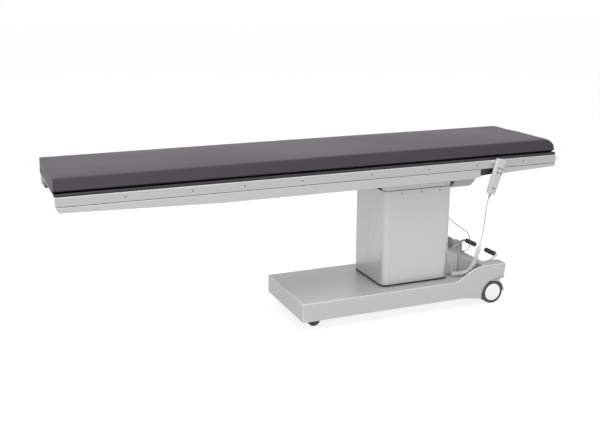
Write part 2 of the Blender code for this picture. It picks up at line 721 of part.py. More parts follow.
def build_carriages(space):
    """Two cross bars under the carbon top, each with a pair of bearing blocks astride the guide rails."""
    slot_half = GUIDE_WIDTH / 2 + FIT
    slot_top = GUIDE_Z + GUIDE_HEIGHT + FIT
    bottom = GUIDE_Z + 4 * FIT
    half = BLOCK_WIDTH / 2
    for end, sign_x in (("left", -1), ("right", 1)):
        x = COLUMN_X + sign_x * BLOCK_SPACING / 2
        carriage = cross_bar(f"slide_carriage_{end}", space, x, CORE_INNER_Y - FIT, STEEL)
        for _, sign in sides():
            y = sign * GUIDE_SPACING / 2
            loop = [(y - half, bottom), (y - slot_half, bottom), (y - slot_half, slot_top), (y + slot_half, slot_top),
                    (y + slot_half, bottom), (y + half, bottom), (y + half, BLOCK_TOP_Z), (y - half, BLOCK_TOP_Z)]
            join(carriage, prism("bearing block", space, loop, x - BLOCK_LENGTH / 2, x + BLOCK_LENGTH / 2, "YZ"))


def build_tilt_frame(space):
    """Plate with the two guide rails on it and two ears that hang on the cardan cross."""
    x0, x1 = COLUMN_X - GUIDE_LENGTH / 2, COLUMN_X + GUIDE_LENGTH / 2
    half = TILT_FRAME_WIDTH / 2
    frame = box("tilt_frame", space, (x0, -half, TILT_FRAME_Z), (x1, half, TILT_FRAME_Z + TILT_FRAME_THICKNESS), LIGHT_METAL)
    for sign in (-1, 1):
        near, far = sorted((sign * ROLL_EAR_INSIDE, sign * (ROLL_EAR_INSIDE + EAR_THICKNESS)))
        ear = prism("roll ear", space, ear_outline(0.0, PIVOT_Z, TILT_FRAME_Z + TILT_FRAME_THICKNESS / 2),
                    COLUMN_X + near, COLUMN_X + far, "YZ")
        join(frame, ear)
    bore = cylinder("roll bore", space, (COLUMN_X, 0, PIVOT_Z), TRUNNION_RADIUS + TRUNNION_CLEARANCE,
                    2 * (ROLL_EAR_INSIDE + EAR_THICKNESS + CUT_MARGIN), "X")
    cut(frame, bore)
    for side, sign in sides():
        y = sign * GUIDE_SPACING / 2
        join(frame, box(f"guide rail {side}", space, (x0, y - GUIDE_WIDTH / 2, GUIDE_Z - TILT_FRAME_THICKNESS / 2),
                        (x1, y + GUIDE_WIDTH / 2, GUIDE_Z + GUIDE_HEIGHT)))


def ear_outline(middle, pivot, root):
    """Ear with a round end about its pivot and straight sides to its root."""
    if root > pivot:
        round_end = arc((middle, pivot), EAR_RADIUS, 180, 360, 10)
        return round_end + [(middle + EAR_RADIUS, root), (middle - EAR_RADIUS, root)]
    round_end = arc((middle, pivot), EAR_RADIUS, 0, 180, 10)
    return round_end + [(middle - EAR_RADIUS, root), (middle + EAR_RADIUS, root)]


def build_cardan_cross(space):
    """Block with four trunnions: two across for the pitch, two along for the roll."""
    low = (COLUMN_X - CROSS_LENGTH / 2, -CROSS_WIDTH / 2, PIVOT_Z - CROSS_HEIGHT / 2)
    high = (COLUMN_X + CROSS_LENGTH / 2, CROSS_WIDTH / 2, PIVOT_Z + CROSS_HEIGHT / 2)
    cross = box("cardan_cross", space, low, high, STEEL, 0.002, 1)
    centre = (COLUMN_X, 0, PIVOT_Z)
    pitch = cylinder("pitch trunnions", space, centre, TRUNNION_RADIUS, 2 * (PITCH_EAR_INSIDE + EAR_THICKNESS), "Y")
    roll = cylinder("roll trunnions", space, centre, TRUNNION_RADIUS, 2 * (ROLL_EAR_INSIDE + EAR_THICKNESS), "X")
    join(cross, pitch)
    join(cross, roll)


def build_drive_box(space):
    """Box with slanted ends under the tilt frame, and the round end of its lock."""
    top = TILT_FRAME_Z - FIT
    knee = DRIVE_BOTTOM_Z + DRIVE_SLANT_HEIGHT
    profile = [(DRIVE_LEFT_X, DRIVE_BOTTOM_Z), (DRIVE_RIGHT_X, DRIVE_BOTTOM_Z), (DRIVE_RIGHT_X + DRIVE_SLANT_RIGHT, knee),
               (DRIVE_RIGHT_X + DRIVE_SLANT_RIGHT, top), (DRIVE_LEFT_X + DRIVE_SLANT_LEFT, top),
               (DRIVE_LEFT_X + DRIVE_SLANT_LEFT, knee)]
    drive = prism("tilt_drive_box", space, profile, -DRIVE_WIDTH / 2, DRIVE_WIDTH / 2, "XZ", LIGHT_METAL,
                  DRIVE_EDGE_RADIUS)
    end_x = DRIVE_RIGHT_X + DRIVE_SLANT_RIGHT
    knob = turned("drive knob", space, (end_x - 0.002, -DRIVE_WIDTH / 2 + 2 * DRIVE_KNOB_RADIUS, knee + DRIVE_KNOB_RADIUS),
                  [(0, DRIVE_KNOB_LENGTH), (DRIVE_KNOB_RADIUS * 0.6, DRIVE_KNOB_LENGTH),
                   (DRIVE_KNOB_RADIUS, DRIVE_KNOB_LENGTH * 0.75), (DRIVE_KNOB_RADIUS, 0), (0, 0)], "X", segments=SMALL_SEGMENTS)
    join(drive, knob)


# Column

def build_column_covers(space):
    """Two half shells that meet in the middle of the end faces, their lid, screws and seal."""
    middle = (COVER_X, 0.0)
    outer = rounded_rectangle(middle, COVER_LENGTH, COVER_WIDTH, COVER_RADIUS)
    inner = rounded_rectangle(middle, COVER_LENGTH - 2 * COVER_WALL, COVER_WIDTH - 2 * COVER_WALL,
                              COVER_RADIUS - COVER_WALL)
    for side, sign in sides():
        shell = prism(f"column_cover_{side}", space, (outer, inner), COVER_Z, COVER_TOP_Z, "XY", LIGHT_METAL)
        low, high = sorted((sign * COVER_SEAM / 2, -sign * COVER_WIDTH))
        other_half = box(f"other half {side}", space, (COVER_X - COVER_LENGTH, low, COVER_Z - CUT_MARGIN),
                         (COVER_X + COVER_LENGTH, high, COVER_TOP_Z + CUT_MARGIN))
        cut(shell, other_half)
        cut(shell, cover_screw_row(space, sign, FIT))
        if sign < 0:
            join(shell, gland("column gland", space, (COVER_RIGHT_X, AUX_EXIT_Y, AUX_EXIT_Z), "X"))
        strip = cover_strip(f"cover_screws_{side}", space, sign)
        join(strip, cover_screw_row(space, sign, 0.0))
    reach = COVER_WALL + FIT
    rim = rounded_rectangle(middle, COVER_LENGTH - 2 * reach, COVER_WIDTH - 2 * reach, COVER_RADIUS - reach)
    hole = rounded_rectangle((COLUMN_X, 0.0), INNER_TUBE_LENGTH + 2 * LID_CLEARANCE, INNER_TUBE_WIDTH + 2 * LID_CLEARANCE,
                             TUBE_WALL, 2)
    prism("column_lid", space, (rim, hole), LID_Z, LID_Z + COVER_LID_THICKNESS, "XY", LIGHT_METAL)
    seal = rounded_rectangle(middle, COVER_LENGTH - 2 * SEAL_INSET, COVER_WIDTH - 2 * SEAL_INSET, COVER_RADIUS - SEAL_INSET)
    seal_hole = rounded_rectangle(middle, COVER_LENGTH - 0.04, COVER_WIDTH - 0.04, 0.012)
    prism("column_seal", space, (seal, seal_hole), SEAL_Z, SEAL_Z + SEAL_HEIGHT, "XY", RUBBER)


def cover_strip(name, space, sign):
    """Tapped strip behind a shell, under the lid."""
    outer = COVER_WIDTH / 2 - COVER_WALL - FIT
    low, high = span(sign, outer - COVER_STRIP_THICKNESS, outer)
    top = LID_Z - FIT
    return box(name, space, (COLUMN_X - COVER_STRIP_LENGTH / 2, low, top - COVER_STRIP_HEIGHT),
               (COLUMN_X + COVER_STRIP_LENGTH / 2, high, top), STEEL)


def cover_screw_row(space, sign, clearance):
    """Pan-head screws through a shell into its strip, or the holes for them."""
    face = COVER_WIDTH / 2 + FIT
    end = COVER_WIDTH / 2 - COVER_WALL - FIT - COVER_STRIP_THICKNESS / 2
    head = [(0, face + COVER_SCREW_HEAD), (COVER_SCREW_RADIUS * 0.7, face + COVER_SCREW_HEAD),
            (COVER_SCREW_RADIUS, face + COVER_SCREW_HEAD * 0.4), (COVER_SCREW_RADIUS, face), (SCREW_SHANK_RADIUS, face),
            (SCREW_SHANK_RADIUS, end), (0, end)]
    hole = [(0, face + CUT_MARGIN), (SCREW_SHANK_RADIUS + clearance, face + CUT_MARGIN),
            (SCREW_SHANK_RADIUS + clearance, end), (0, end)]
    row = [turned("cover screw", space, (COLUMN_X + x, 0, COVER_TOP_Z - COVER_SCREW_DROP), hole if clearance else head,
                  "Y", segments=SMALL_SEGMENTS, flip=sign < 0) for x in COVER_SCREW_X]
    return grouped("cover screw row", space, row)


def gland(name, space, at, axis, flip=False):
    """Collar moulded on a cover where a cord goes in, let into the cover by half its height."""
    profile = [(0, GLAND_LENGTH), (GLAND_RADIUS * 0.6, GLAND_LENGTH), (GLAND_RADIUS, GLAND_LENGTH * 0.4),
               (GLAND_RADIUS, -COVER_WALL / 2), (0, -COVER_WALL / 2)]
    return turned(name, space, at, profile, axis, segments=SMALL_SEGMENTS, flip=flip)


def square_tube(name, space, length, width, low, high, look):
    middle = (COLUMN_X, 0.0)
    outer = rounded_rectangle(middle, length, width, TUBE_WALL, 3)
    inner = rounded_rectangle(middle, length - 2 * TUBE_WALL, width - 2 * TUBE_WALL, TUBE_WALL / 4, 2)
    return prism(name, space, (outer, inner), low, high, "XY", look)


def build_lift(base, lift):
    """Guide tube on the chassis, the tube that slides in it, and the actuator inside both."""
    square_tube("column_guide_tube", base, GUIDE_TUBE_LENGTH, GUIDE_TUBE_WIDTH, CHASSIS_TOP_Z + FIT, GUIDE_TUBE_TOP_Z, STEEL)
    foot = CHASSIS_TOP_Z + FIT
    bore = ROD_RADIUS + FIT
    body = [(ACTUATOR_RADIUS, ACTUATOR_TOP_Z), (ACTUATOR_RADIUS, foot + ACTUATOR_FLOOR),
            (ACTUATOR_RADIUS * 1.5, foot + ACTUATOR_FLOOR), (ACTUATOR_RADIUS * 1.5, foot), (0, foot)]
    well = [(0, foot + ACTUATOR_FLOOR), (bore, foot + ACTUATOR_FLOOR), (bore, ACTUATOR_TOP_Z)]
    turned("lift_actuator_body", base, (COLUMN_X, 0, 0), well + body, "Z", STEEL)
    inner_low = INNER_TUBE_BOTTOM_Z
    square_tube("column_inner_tube", lift, INNER_TUBE_LENGTH, INNER_TUBE_WIDTH, inner_low, INNER_TUBE_TOP_Z, STEEL)
    rod_low = foot + ACTUATOR_FLOOR + FIT
    cylinder("lift_actuator_rod", lift, (COLUMN_X, 0, (rod_low + HEAD_Z - FIT) / 2), ROD_RADIUS,
             HEAD_Z - FIT - rod_low, "Z", STEEL)


def build_column_head(lift):
    """Plate on the inner tube with a collar around it and the two ears that hold the pitch trunnions."""
    plate = rounded_rectangle((COLUMN_X, 0.0), INNER_TUBE_LENGTH, INNER_TUBE_WIDTH, TUBE_WALL, 3)
    head = prism("column_head", lift, plate, HEAD_Z, HEAD_Z + HEAD_PLATE_THICKNESS, "XY", LIGHT_METAL)
    join(head, head_collar(lift))
    for sign in (-1, 1):
        low, high = span(sign, PITCH_EAR_INSIDE, PITCH_EAR_INSIDE + EAR_THICKNESS)
        ear = prism("pitch ear", lift, ear_outline(COLUMN_X, PIVOT_Z, HEAD_Z + HEAD_PLATE_THICKNESS / 2), low, high, "XZ")
        join(head, ear)
    bore = cylinder("pitch bore", lift, (COLUMN_X, 0, PIVOT_Z), TRUNNION_RADIUS + TRUNNION_CLEARANCE,
                    2 * (PITCH_EAR_INSIDE + EAR_THICKNESS + CUT_MARGIN), "Y")
    cut(head, bore)


def head_collar(lift):
    """Shallow open tray, as wide as the column cover, its left end wall cut low and notched."""
    length, width = COVER_LENGTH - 2 * COLLAR_INSET, COVER_WIDTH - 2 * COLLAR_INSET
    rim = rounded_rectangle((COVER_X, 0.0), length, width, COVER_RADIUS - COLLAR_INSET)
    inside = rounded_rectangle((COVER_X, 0.0), length - 2 * COLLAR_WALL, width - 2 * COLLAR_WALL,
                               COVER_RADIUS - COLLAR_INSET - COLLAR_WALL)
    tray = prism("collar", lift, rim, COLLAR_Z, COLLAR_TOP_Z, "XY")
    cut(tray, prism("collar hollow", lift, inside, COLLAR_Z + COLLAR_FLOOR, COLLAR_TOP_Z + CUT_MARGIN, "XY"))
    end_x = COVER_X - COVER_LENGTH / 2
    low = (end_x - CUT_MARGIN, COLLAR_NOTCH_Y - COLLAR_NOTCH_WIDTH / 2, COLLAR_Z - CUT_MARGIN)
    high = (end_x + CUT_MARGIN, COLLAR_NOTCH_Y + COLLAR_NOTCH_WIDTH / 2, COLLAR_Z + COLLAR_NOTCH_HEIGHT)
    cut(tray, box("collar notch", lift, low, high))
    low = (end_x - CUT_MARGIN, -COLLAR_OPENING_WIDTH / 2, COLLAR_Z + COLLAR_FLOOR + COLLAR_OPENING_LIP)
    high = (end_x + CUT_MARGIN, COLLAR_OPENING_WIDTH / 2, COLLAR_TOP_Z + CUT_MARGIN)
    cut(tray, box("collar opening", lift, low, high))
    return tray


# Base

def base_side_outline():
    """Side view of the base: flat box, swell over the castor, and the open arch behind."""
    swell = []
    for i in range(11):
        t = i / 10
        rise = math.sin(t * math.pi / 2) * (1 - 0.25 * (1 - t) ** 3)
        swell.append((SWELL_START_X + t * (SWELL_END_X - SWELL_START_X), BASE_TOP_Z + rise * (TAIL_TOP_Z - BASE_TOP_Z)))
    arch = arc((ARCH_X + ARCH_RADIUS, ARCH_CROWN_Z - ARCH_RADIUS), ARCH_RADIUS, 105, 180)
    return [
        (BASE_LEFT_X, BASE_BOTTOM_Z), (BASE_LEFT_X, BASE_TOP_Z), *swell, (TAIL_X, TAIL_TOP_Z),
        (TAIL_X - 0.006, ARCH_REAR_Z), *arch, (ARCH_X, SKIRT_REAR_Z), (SKIRT_KINK_X, BASE_BOTTOM_Z),
    ]


def build_base_cover(space):
    """Sheet cover: flat top, end wall and two long side walls, open below and behind the plate."""
    half = BASE_WIDTH / 2
    cover = prism("base_cover", space, base_side_outline(), -half, half, "XZ", LIGHT_METAL, BASE_EDGE_RADIUS, 2)
    inside = [(BASE_LEFT_X + BASE_WALL, -CUT_MARGIN), (BASE_LEFT_X + BASE_WALL, BASE_TOP_Z - BASE_WALL),
              (PLATE_END_X, BASE_TOP_Z - BASE_WALL), (PLATE_END_X, BASE_TOP_Z + FIT),
              (SWELL_START_X - CUT_MARGIN, BASE_TOP_Z + FIT), (SWELL_START_X - CUT_MARGIN, TAIL_TOP_Z + CUT_MARGIN),
              (TAIL_X + CUT_MARGIN, TAIL_TOP_Z + CUT_MARGIN), (TAIL_X + CUT_MARGIN, -CUT_MARGIN)]
    hollow = prism("base hollow", space, inside, -INNER_Y, INNER_Y, "XZ")
    cut(cover, hollow)
    opening = rounded_rectangle((COLUMN_X, 0.0), GUIDE_TUBE_LENGTH + 2 * LID_CLEARANCE, GUIDE_TUBE_WIDTH + 2 * LID_CLEARANCE,
                                TUBE_WALL, 2)
    cut(cover, prism("column opening", space, opening, BASE_TOP_Z - BASE_WALL - CUT_MARGIN, BASE_TOP_Z + CUT_MARGIN, "XY"))


def build_chassis(space):
    half = INNER_Y - FIT
    chassis = box("base_chassis", space, (BASE_LEFT_X + BASE_WALL + FIT, -half, CHASSIS_Z),
                  (CHASSIS_END_X, half, CHASSIS_TOP_Z), STEEL)
    for _, sign in sides():
        hole = cylinder("front stem hole", space, (FRONT_CASTOR_X, sign * FRONT_CASTOR_Y, CHASSIS_Z),
                        STEM_RADIUS + TUBE_CLEARANCE, 4 * CHASSIS_THICKNESS, "Z")
        cut(chassis, hole)


def rear_plan():
    """Plan of the rear cover's block: two lobes over the castors with the pedal bay between them."""
    half = INNER_Y - FIT
    inner = half - LOBE_WIDTH
    outer_r, inner_r = LOBE_OUTER_RADIUS, LOBE_INNER_RADIUS
    far = [
        *arc((BAY_X + BAY_FILLET, inner - BAY_FILLET), BAY_FILLET, 180, 90),
        *arc((TAIL_X - inner_r, inner + inner_r), inner_r, -90, 0),
        *arc((TAIL_X - outer_r, half - outer_r), outer_r, 0, 90, 4),
        (REAR_FRONT_X, half),
        *((REAR_FRONT_X + u * (REAR_BLOCK_X - REAR_FRONT_X), half + v * (HOOD_WIDTH / 2 - half)) for u, v in REAR_FRONT_PLAN),
        (REAR_BLOCK_X, HOOD_WIDTH / 2),
    ]
    near = [(x, -y) for x, y in reversed(far)]
    return near + far


def rear_rise(x, y):
    """How much higher than its lobes the rear cover is at a place in plan: it carries the hood's slope on."""
    along = min(1.0, max(0.0, (BAY_X - x) / (BAY_X - REAR_BLOCK_X)))
    across = min(1.0, max(0.0, (INNER_Y - LOBE_WIDTH - abs(y)) / (INNER_Y - LOBE_WIDTH - HOOD_WIDTH / 2 + 0.002)))
    return (HOOD_REAR_Z - TAIL_TOP_Z) * along * across * across * (3 - 2 * across)


def castor_well_profile():
    """Space that the rear castor sweeps as it swivels."""
    radius = REAR_WHEEL_RADIUS + REAR_WELL_CLEARANCE
    sweep = arc((REAR_TRAIL, REAR_WHEEL_RADIUS), radius, 90, 0, 8)
    return [(0, REAR_MOUNT_Z), (REAR_TRAIL, REAR_MOUNT_Z), *sweep, (sweep[-1][0], -CUT_MARGIN), (0, -CUT_MARGIN)]


def build_rear_cover(space):
    """Moulded rear cover: a tray behind the column, then a block with lobes, bay and pedal slots."""
    block = prism("rear block", space, rear_plan(), REAR_COVER_BOTTOM_Z, TAIL_TOP_Z, "XY", None, REAR_EDGE_RADIUS, 3)
    bpy.context.view_layer.update()
    view = bpy.context.evaluated_depsgraph_get()
    mesh = bpy.data.meshes.new_from_object(block.evaluated_get(view))
    bpy.data.objects.remove(block, do_unlink=True)
    bm = bmesh.new()
    bm.from_mesh(mesh)
    bm.transform(Matrix.Translation((0.0, 0.0, (REAR_COVER_BOTTOM_Z + TAIL_TOP_Z) / 2)))
    bmesh.ops.triangulate(bm, faces=[face for face in bm.faces if len(face.verts) > 4], ngon_method="EAR_CLIP")
    for vert in bm.verts:
        if vert.co.z > TAIL_TOP_Z - 2 * REAR_EDGE_RADIUS:
            vert.co.z += rear_rise(vert.co.x, vert.co.y)
    cover = place(mesh_object("rear_cover", bm), space, (0, 0, 0), GREY_PLASTIC)
    half = INNER_Y - FIT
    tray = box("tray", space, (PLATE_END_X + FIT, -half, BASE_TOP_Z - TRAY_THICKNESS), (REAR_FRONT_X + 0.02, half, BASE_TOP_Z))
    join(cover, tray)
    for _, sign in sides():
        at = (REAR_CASTOR_X, sign * REAR_CASTOR_Y, 0)
        cut(cover, turned("castor well", space, at, castor_well_profile(), "Z", segments=32))
        stem_z = REAR_MOUNT_Z + STEM_LENGTH / 2
        cut(cover, cylinder("rear stem hole", space, (*at[:2], stem_z), STEM_RADIUS + TUBE_CLEARANCE,
                            STEM_LENGTH + 2 * FIT, "Z"))
        cut(cover, pedal_slot(space, sign))
    bore = cylinder("pedal shaft bore", space, (PEDAL_SHAFT_X, 0, PEDAL_SHAFT_Z), PEDAL_SHAFT_RADIUS + TRUNNION_CLEARANCE,
                    2 * (PEDAL_ARM_Y + PEDAL_ARM_RADIUS + FIT), "Y")
    cut(cover, bore)
    low, high = socket_box_corners()
    cut(cover, box("socket seat", space, (low[0] - FIT, low[1] - FIT, SOCKET_SEAT_Z),
                   (BAY_X + SEAT_OVERRUN, high[1] + FIT, high[2])))
    join(cover, gland_elbow(space))


def gland_elbow(space):
    """Angled cord entry on top of the cover, its nozzle level and facing away from the column."""
    post = cylinder("elbow post", space, (AUX_ENTRY_X, AUX_ENTRY_Y, TAIL_TOP_Z + ELBOW_HEIGHT / 2 - COVER_WALL / 2),
                    GLAND_RADIUS, ELBOW_HEIGHT + COVER_WALL, "Z", segments=SMALL_SEGMENTS)
    profile = [(0, ELBOW_LENGTH), (ELBOW_RADIUS * 0.8, ELBOW_LENGTH), (ELBOW_RADIUS, ELBOW_LENGTH * 0.8),
               (ELBOW_RADIUS, 0), (0, 0)]
    nozzle = turned("elbow nozzle", space, (AUX_ENTRY_X, AUX_ENTRY_Y, ELBOW_Z), profile, "X", segments=SMALL_SEGMENTS)
    return join(post, nozzle)


def pedal_slot(space, sign):
    """Slot in the bay wall through which a pedal arm swings."""
    half = PEDAL_ARM_RADIUS + PEDAL_SLOT_CLEARANCE
    reach = BAY_X - PEDAL_SHAFT_X + half
    top = PEDAL_SHAFT_Z + reach * math.tan(PEDAL_RISE) + 2 * half
    bottom = PEDAL_SHAFT_Z - reach * math.tan(PEDAL_DROP - PEDAL_RISE) - 2 * half
    y = sign * PEDAL_ARM_Y
    return box("pedal slot", space, (PEDAL_SHAFT_X - PEDAL_SHAFT_RADIUS - PEDAL_SLOT_CLEARANCE, y - half, bottom),
               (BAY_X + CUT_MARGIN, y + half, top))


def build_rear_hood(space):
    """Hood from the column to the rear cover, standing on the plate and the tray."""
    low = BASE_TOP_Z + 2 * FIT
    profile = [(HOOD_X, low), (HOOD_X + HOOD_LENGTH, low), (HOOD_X + HOOD_LENGTH, HOOD_REAR_Z), (HOOD_X, HOOD_FRONT_Z)]
    hood = prism("rear_hood", space, profile, -HOOD_WIDTH / 2, HOOD_WIDTH / 2, "XZ", GREY_PLASTIC, HOOD_EDGE_RADIUS, 3)
    join(hood, gland("lead gland", space, (LEAD_ENTRY_X, -HOOD_WIDTH / 2, LEAD_ENTRY_Z), "Y", flip=True))


def build_socket_box(space):
    low, high = socket_box_corners()
    box("socket_box", space, low, high, GREY_PLASTIC, SOCKET_BOX_RADIUS, 3)


def socket_box_corners():
    """The socket box sits in a shallow seat in the top of the rear cover."""
    return ((BAY_X - 2 * FIT - SOCKET_BOX_LENGTH, SOCKET_BOX_Y - SOCKET_BOX_WIDTH / 2, SOCKET_SEAT_Z + FIT),
            (BAY_X - 2 * FIT, SOCKET_BOX_Y + SOCKET_BOX_WIDTH / 2, TAIL_TOP_Z + SOCKET_BOX_HEIGHT))


# Pedals

def pedal_arm_route(sign):
    """From the shaft up and back, then bent towards the middle along the grip."""
    along = Vector((math.cos(PEDAL_RISE), 0.0, math.sin(PEDAL_RISE)))
    inward = Vector((0.0, -sign, 0.0))
    start = Vector((PEDAL_SHAFT_X, sign * PEDAL_ARM_Y, PEDAL_SHAFT_Z))
    corner = start + along * (PEDAL_ARM_REACH - PEDAL_BEND_RADIUS)
    points = [start, corner]
    for step in range(1, 6):
        angle = step * math.pi / 10
        points.append(corner + PEDAL_BEND_RADIUS * (math.sin(angle) * along + (1 - math.cos(angle)) * inward))
    grip_end = points[-1] + inward * GRIP_LENGTH
    return points + [grip_end], points[-1] + inward * 0.002, inward


def build_pedals(space):
    """One bar: a shaft in the rear cover with an arm at each end; a ribbed grip on each arm."""
    bar = cylinder("pedal_bar", space, (PEDAL_SHAFT_X, 0, PEDAL_SHAFT_Z), PEDAL_SHAFT_RADIUS,
                   2 * (PEDAL_ARM_Y + PEDAL_ARM_RADIUS), "Y", STEEL)
    for side, sign in sides():
        route, grip_start, inward = pedal_arm_route(sign)
        join(bar, welded(tube(f"pedal arm {side}", space, route, PEDAL_ARM_RADIUS, STEEL, 3)))
        ribs = []
        count = round(GRIP_LENGTH / GRIP_RIB_PITCH)
        pitch = GRIP_LENGTH / count
        for i in range(count):
            top = GRIP_LENGTH - i * pitch
            ribs += [(GRIP_RADIUS, top), (GRIP_RADIUS, top - 0.6 * pitch),
                     (GRIP_RADIUS - GRIP_RIB_DEPTH, top - 0.8 * pitch)]
        ribs[-1] = (GRIP_RADIUS - GRIP_RIB_DEPTH, 0)
        sleeve = PEDAL_ARM_RADIUS + FIT
        floor = GRIP_LENGTH - 0.002 + FIT
        profile = [(0, GRIP_LENGTH), *ribs, (sleeve, 0), (sleeve, floor - 0.003), (0, floor - 0.003)]
        end = grip_start + inward * 0.004
        grip = turned(f"pedal_grip_{side}", space, end, profile, "Y", RUBBER, segments=SMALL_SEGMENTS,
                      flip=inward.y < 0)
        smooth(grip)


# Castors

def build_castor(name, axis_x, axis_y, radius, width, hood_width, trail, mount_z, space, rings=True):
    """Twin-wheel castor: hood with stem and axle, then the two wheels on their own axle."""
    swivel = Space(f"{name} swivel", (axis_x, axis_y, 0), space)
    top = mount_z - COLLAR_HEIGHT
    reach = radius * 0.42
    hood = [
        *arc((axis_x - trail, radius), radius * 0.55, 150, 330, 8),
        (axis_x + reach - 0.002, radius * 1.35), (axis_x + reach, top - 0.012),
        *arc((axis_x + reach - 0.010, top - 0.010), 0.010, 0, 90, 4),
        (axis_x - trail * 0.55, top), *arc((axis_x - trail, radius), radius + FENDER_GAP + FENDER_THICKNESS / 2, 84, 128, 4),
    ]
    low, high = axis_y - hood_width / 2, axis_y + hood_width / 2
    fork = prism(f"{name}_fork", swivel, hood, low, high, "XZ", LIGHT_METAL)
    if rings:
        guard_in, guard_out = radius + FENDER_GAP, radius + FENDER_GAP + FENDER_THICKNESS
        guard = arc((axis_x - trail, radius), guard_out, 0, 100, 10) + arc((axis_x - trail, radius), guard_in, 100, 0, 10)
        reach_y = hood_width / 2 + WHEEL_GAP + width + FENDER_GAP
        join(fork, prism(f"{name} fender", swivel, guard, axis_y - reach_y, axis_y + reach_y, "XZ"))
    stem_top = mount_z + STEM_LENGTH * min(1.0, radius / REAR_WHEEL_RADIUS)
    stem = turned(f"{name} stem", swivel, (axis_x, axis_y, 0),
                  [(0, stem_top), (STEM_RADIUS, stem_top), (STEM_RADIUS, mount_z - FIT), (STEM_RADIUS * 1.7, mount_z - FIT),
                   (STEM_RADIUS * 1.7, top - 0.003), (0, top - 0.003)], "Z")
    join(fork, stem)
    centre = (axis_x - trail, axis_y, radius)
    cut(fork, cylinder(f"{name} axle bore", swivel, centre, AXLE_RADIUS + TUBE_CLEARANCE, 2 * hood_width, "Y"))
    build_wheels(name, swivel, centre, radius, width, hood_width / 2 + WHEEL_GAP, rings)


def build_wheels(name, space, centre, radius, width, inner, rings):
    """Two wheels on one axle, with rubber rings of their own or plain."""
    outer = inner + width
    rim = radius * 0.76 if rings else radius
    core = rim - FIT if rings else radius
    edge = 0.002 if rings else width * 0.2
    half = [(0, outer + 0.001), (core - edge, outer), (core, outer - edge), (core, inner + edge), (core - edge, inner),
            (AXLE_RADIUS, inner)]
    profile = half + [(r, -height) for r, height in reversed(half)]
    turned(f"{name}_wheels", space, centre, profile, "Y", PALE_PLASTIC if rings else RUBBER,
           segments=WHEEL_SEGMENTS if rings else ROUND_SEGMENTS)
    if not rings:
        return
    shoulder = width * 0.22
    tyre = [(radius - shoulder, outer), (radius, outer - shoulder), (radius, inner + shoulder),
            (radius - shoulder, inner), (rim, inner), (rim, outer)]
    for place_name, flip in (("near", True), ("far", False)):
        turned(f"{name}_tyre_{place_name}", space, centre, tyre, "Y", RUBBER, closed=True, flip=flip,
               segments=WHEEL_SEGMENTS)


def build_castors(space):
    for side, sign in sides():
        build_castor(f"rear_castor_{side}", REAR_CASTOR_X, sign * REAR_CASTOR_Y, REAR_WHEEL_RADIUS, REAR_WHEEL_WIDTH,
                     REAR_HOOD_WIDTH, REAR_TRAIL, REAR_MOUNT_Z, space)
        build_castor(f"front_castor_{side}", FRONT_CASTOR_X, sign * FRONT_CASTOR_Y, FRONT_WHEEL_RADIUS,
                     FRONT_WHEEL_WIDTH, FRONT_HOOD_WIDTH, FRONT_TRAIL, CHASSIS_Z, space, rings=False)


# Handset and cords

def build_handset(top):
    """Bracket on the near rail, and the handset that hangs on it leaning towards its cord."""
    half = BRACKET_WIDTH / 2
    plate_low = RAIL_TOP_Z - BRACKET_DROP
    lip = CARBON_WIDTH / 2 + FIT
    loop = [(BRACKET_Y - BRACKET_THICKNESS, plate_low), (BRACKET_Y, plate_low), (BRACKET_Y, RAIL_TOP_Z + FIT),
            (-lip, RAIL_TOP_Z + FIT), (-lip, RAIL_TOP_Z + FIT + BRACKET_THICKNESS),
            (BRACKET_Y - BRACKET_THICKNESS, RAIL_TOP_Z + FIT + BRACKET_THICKNESS)]
    prism("handset_bracket", top, loop, HANDSET_X - half, HANDSET_X + half, "YZ", LIGHT_METAL)
    hand = Space("handset", (HANDSET_X, HANDSET_BACK_Y, HANDSET_TOP_Z), top, (0.0, HANDSET_TILT, 0.0))
    hand.at = Vector((0.0, 0.0, 0.0))
    build_handset_body(hand)
    return hand


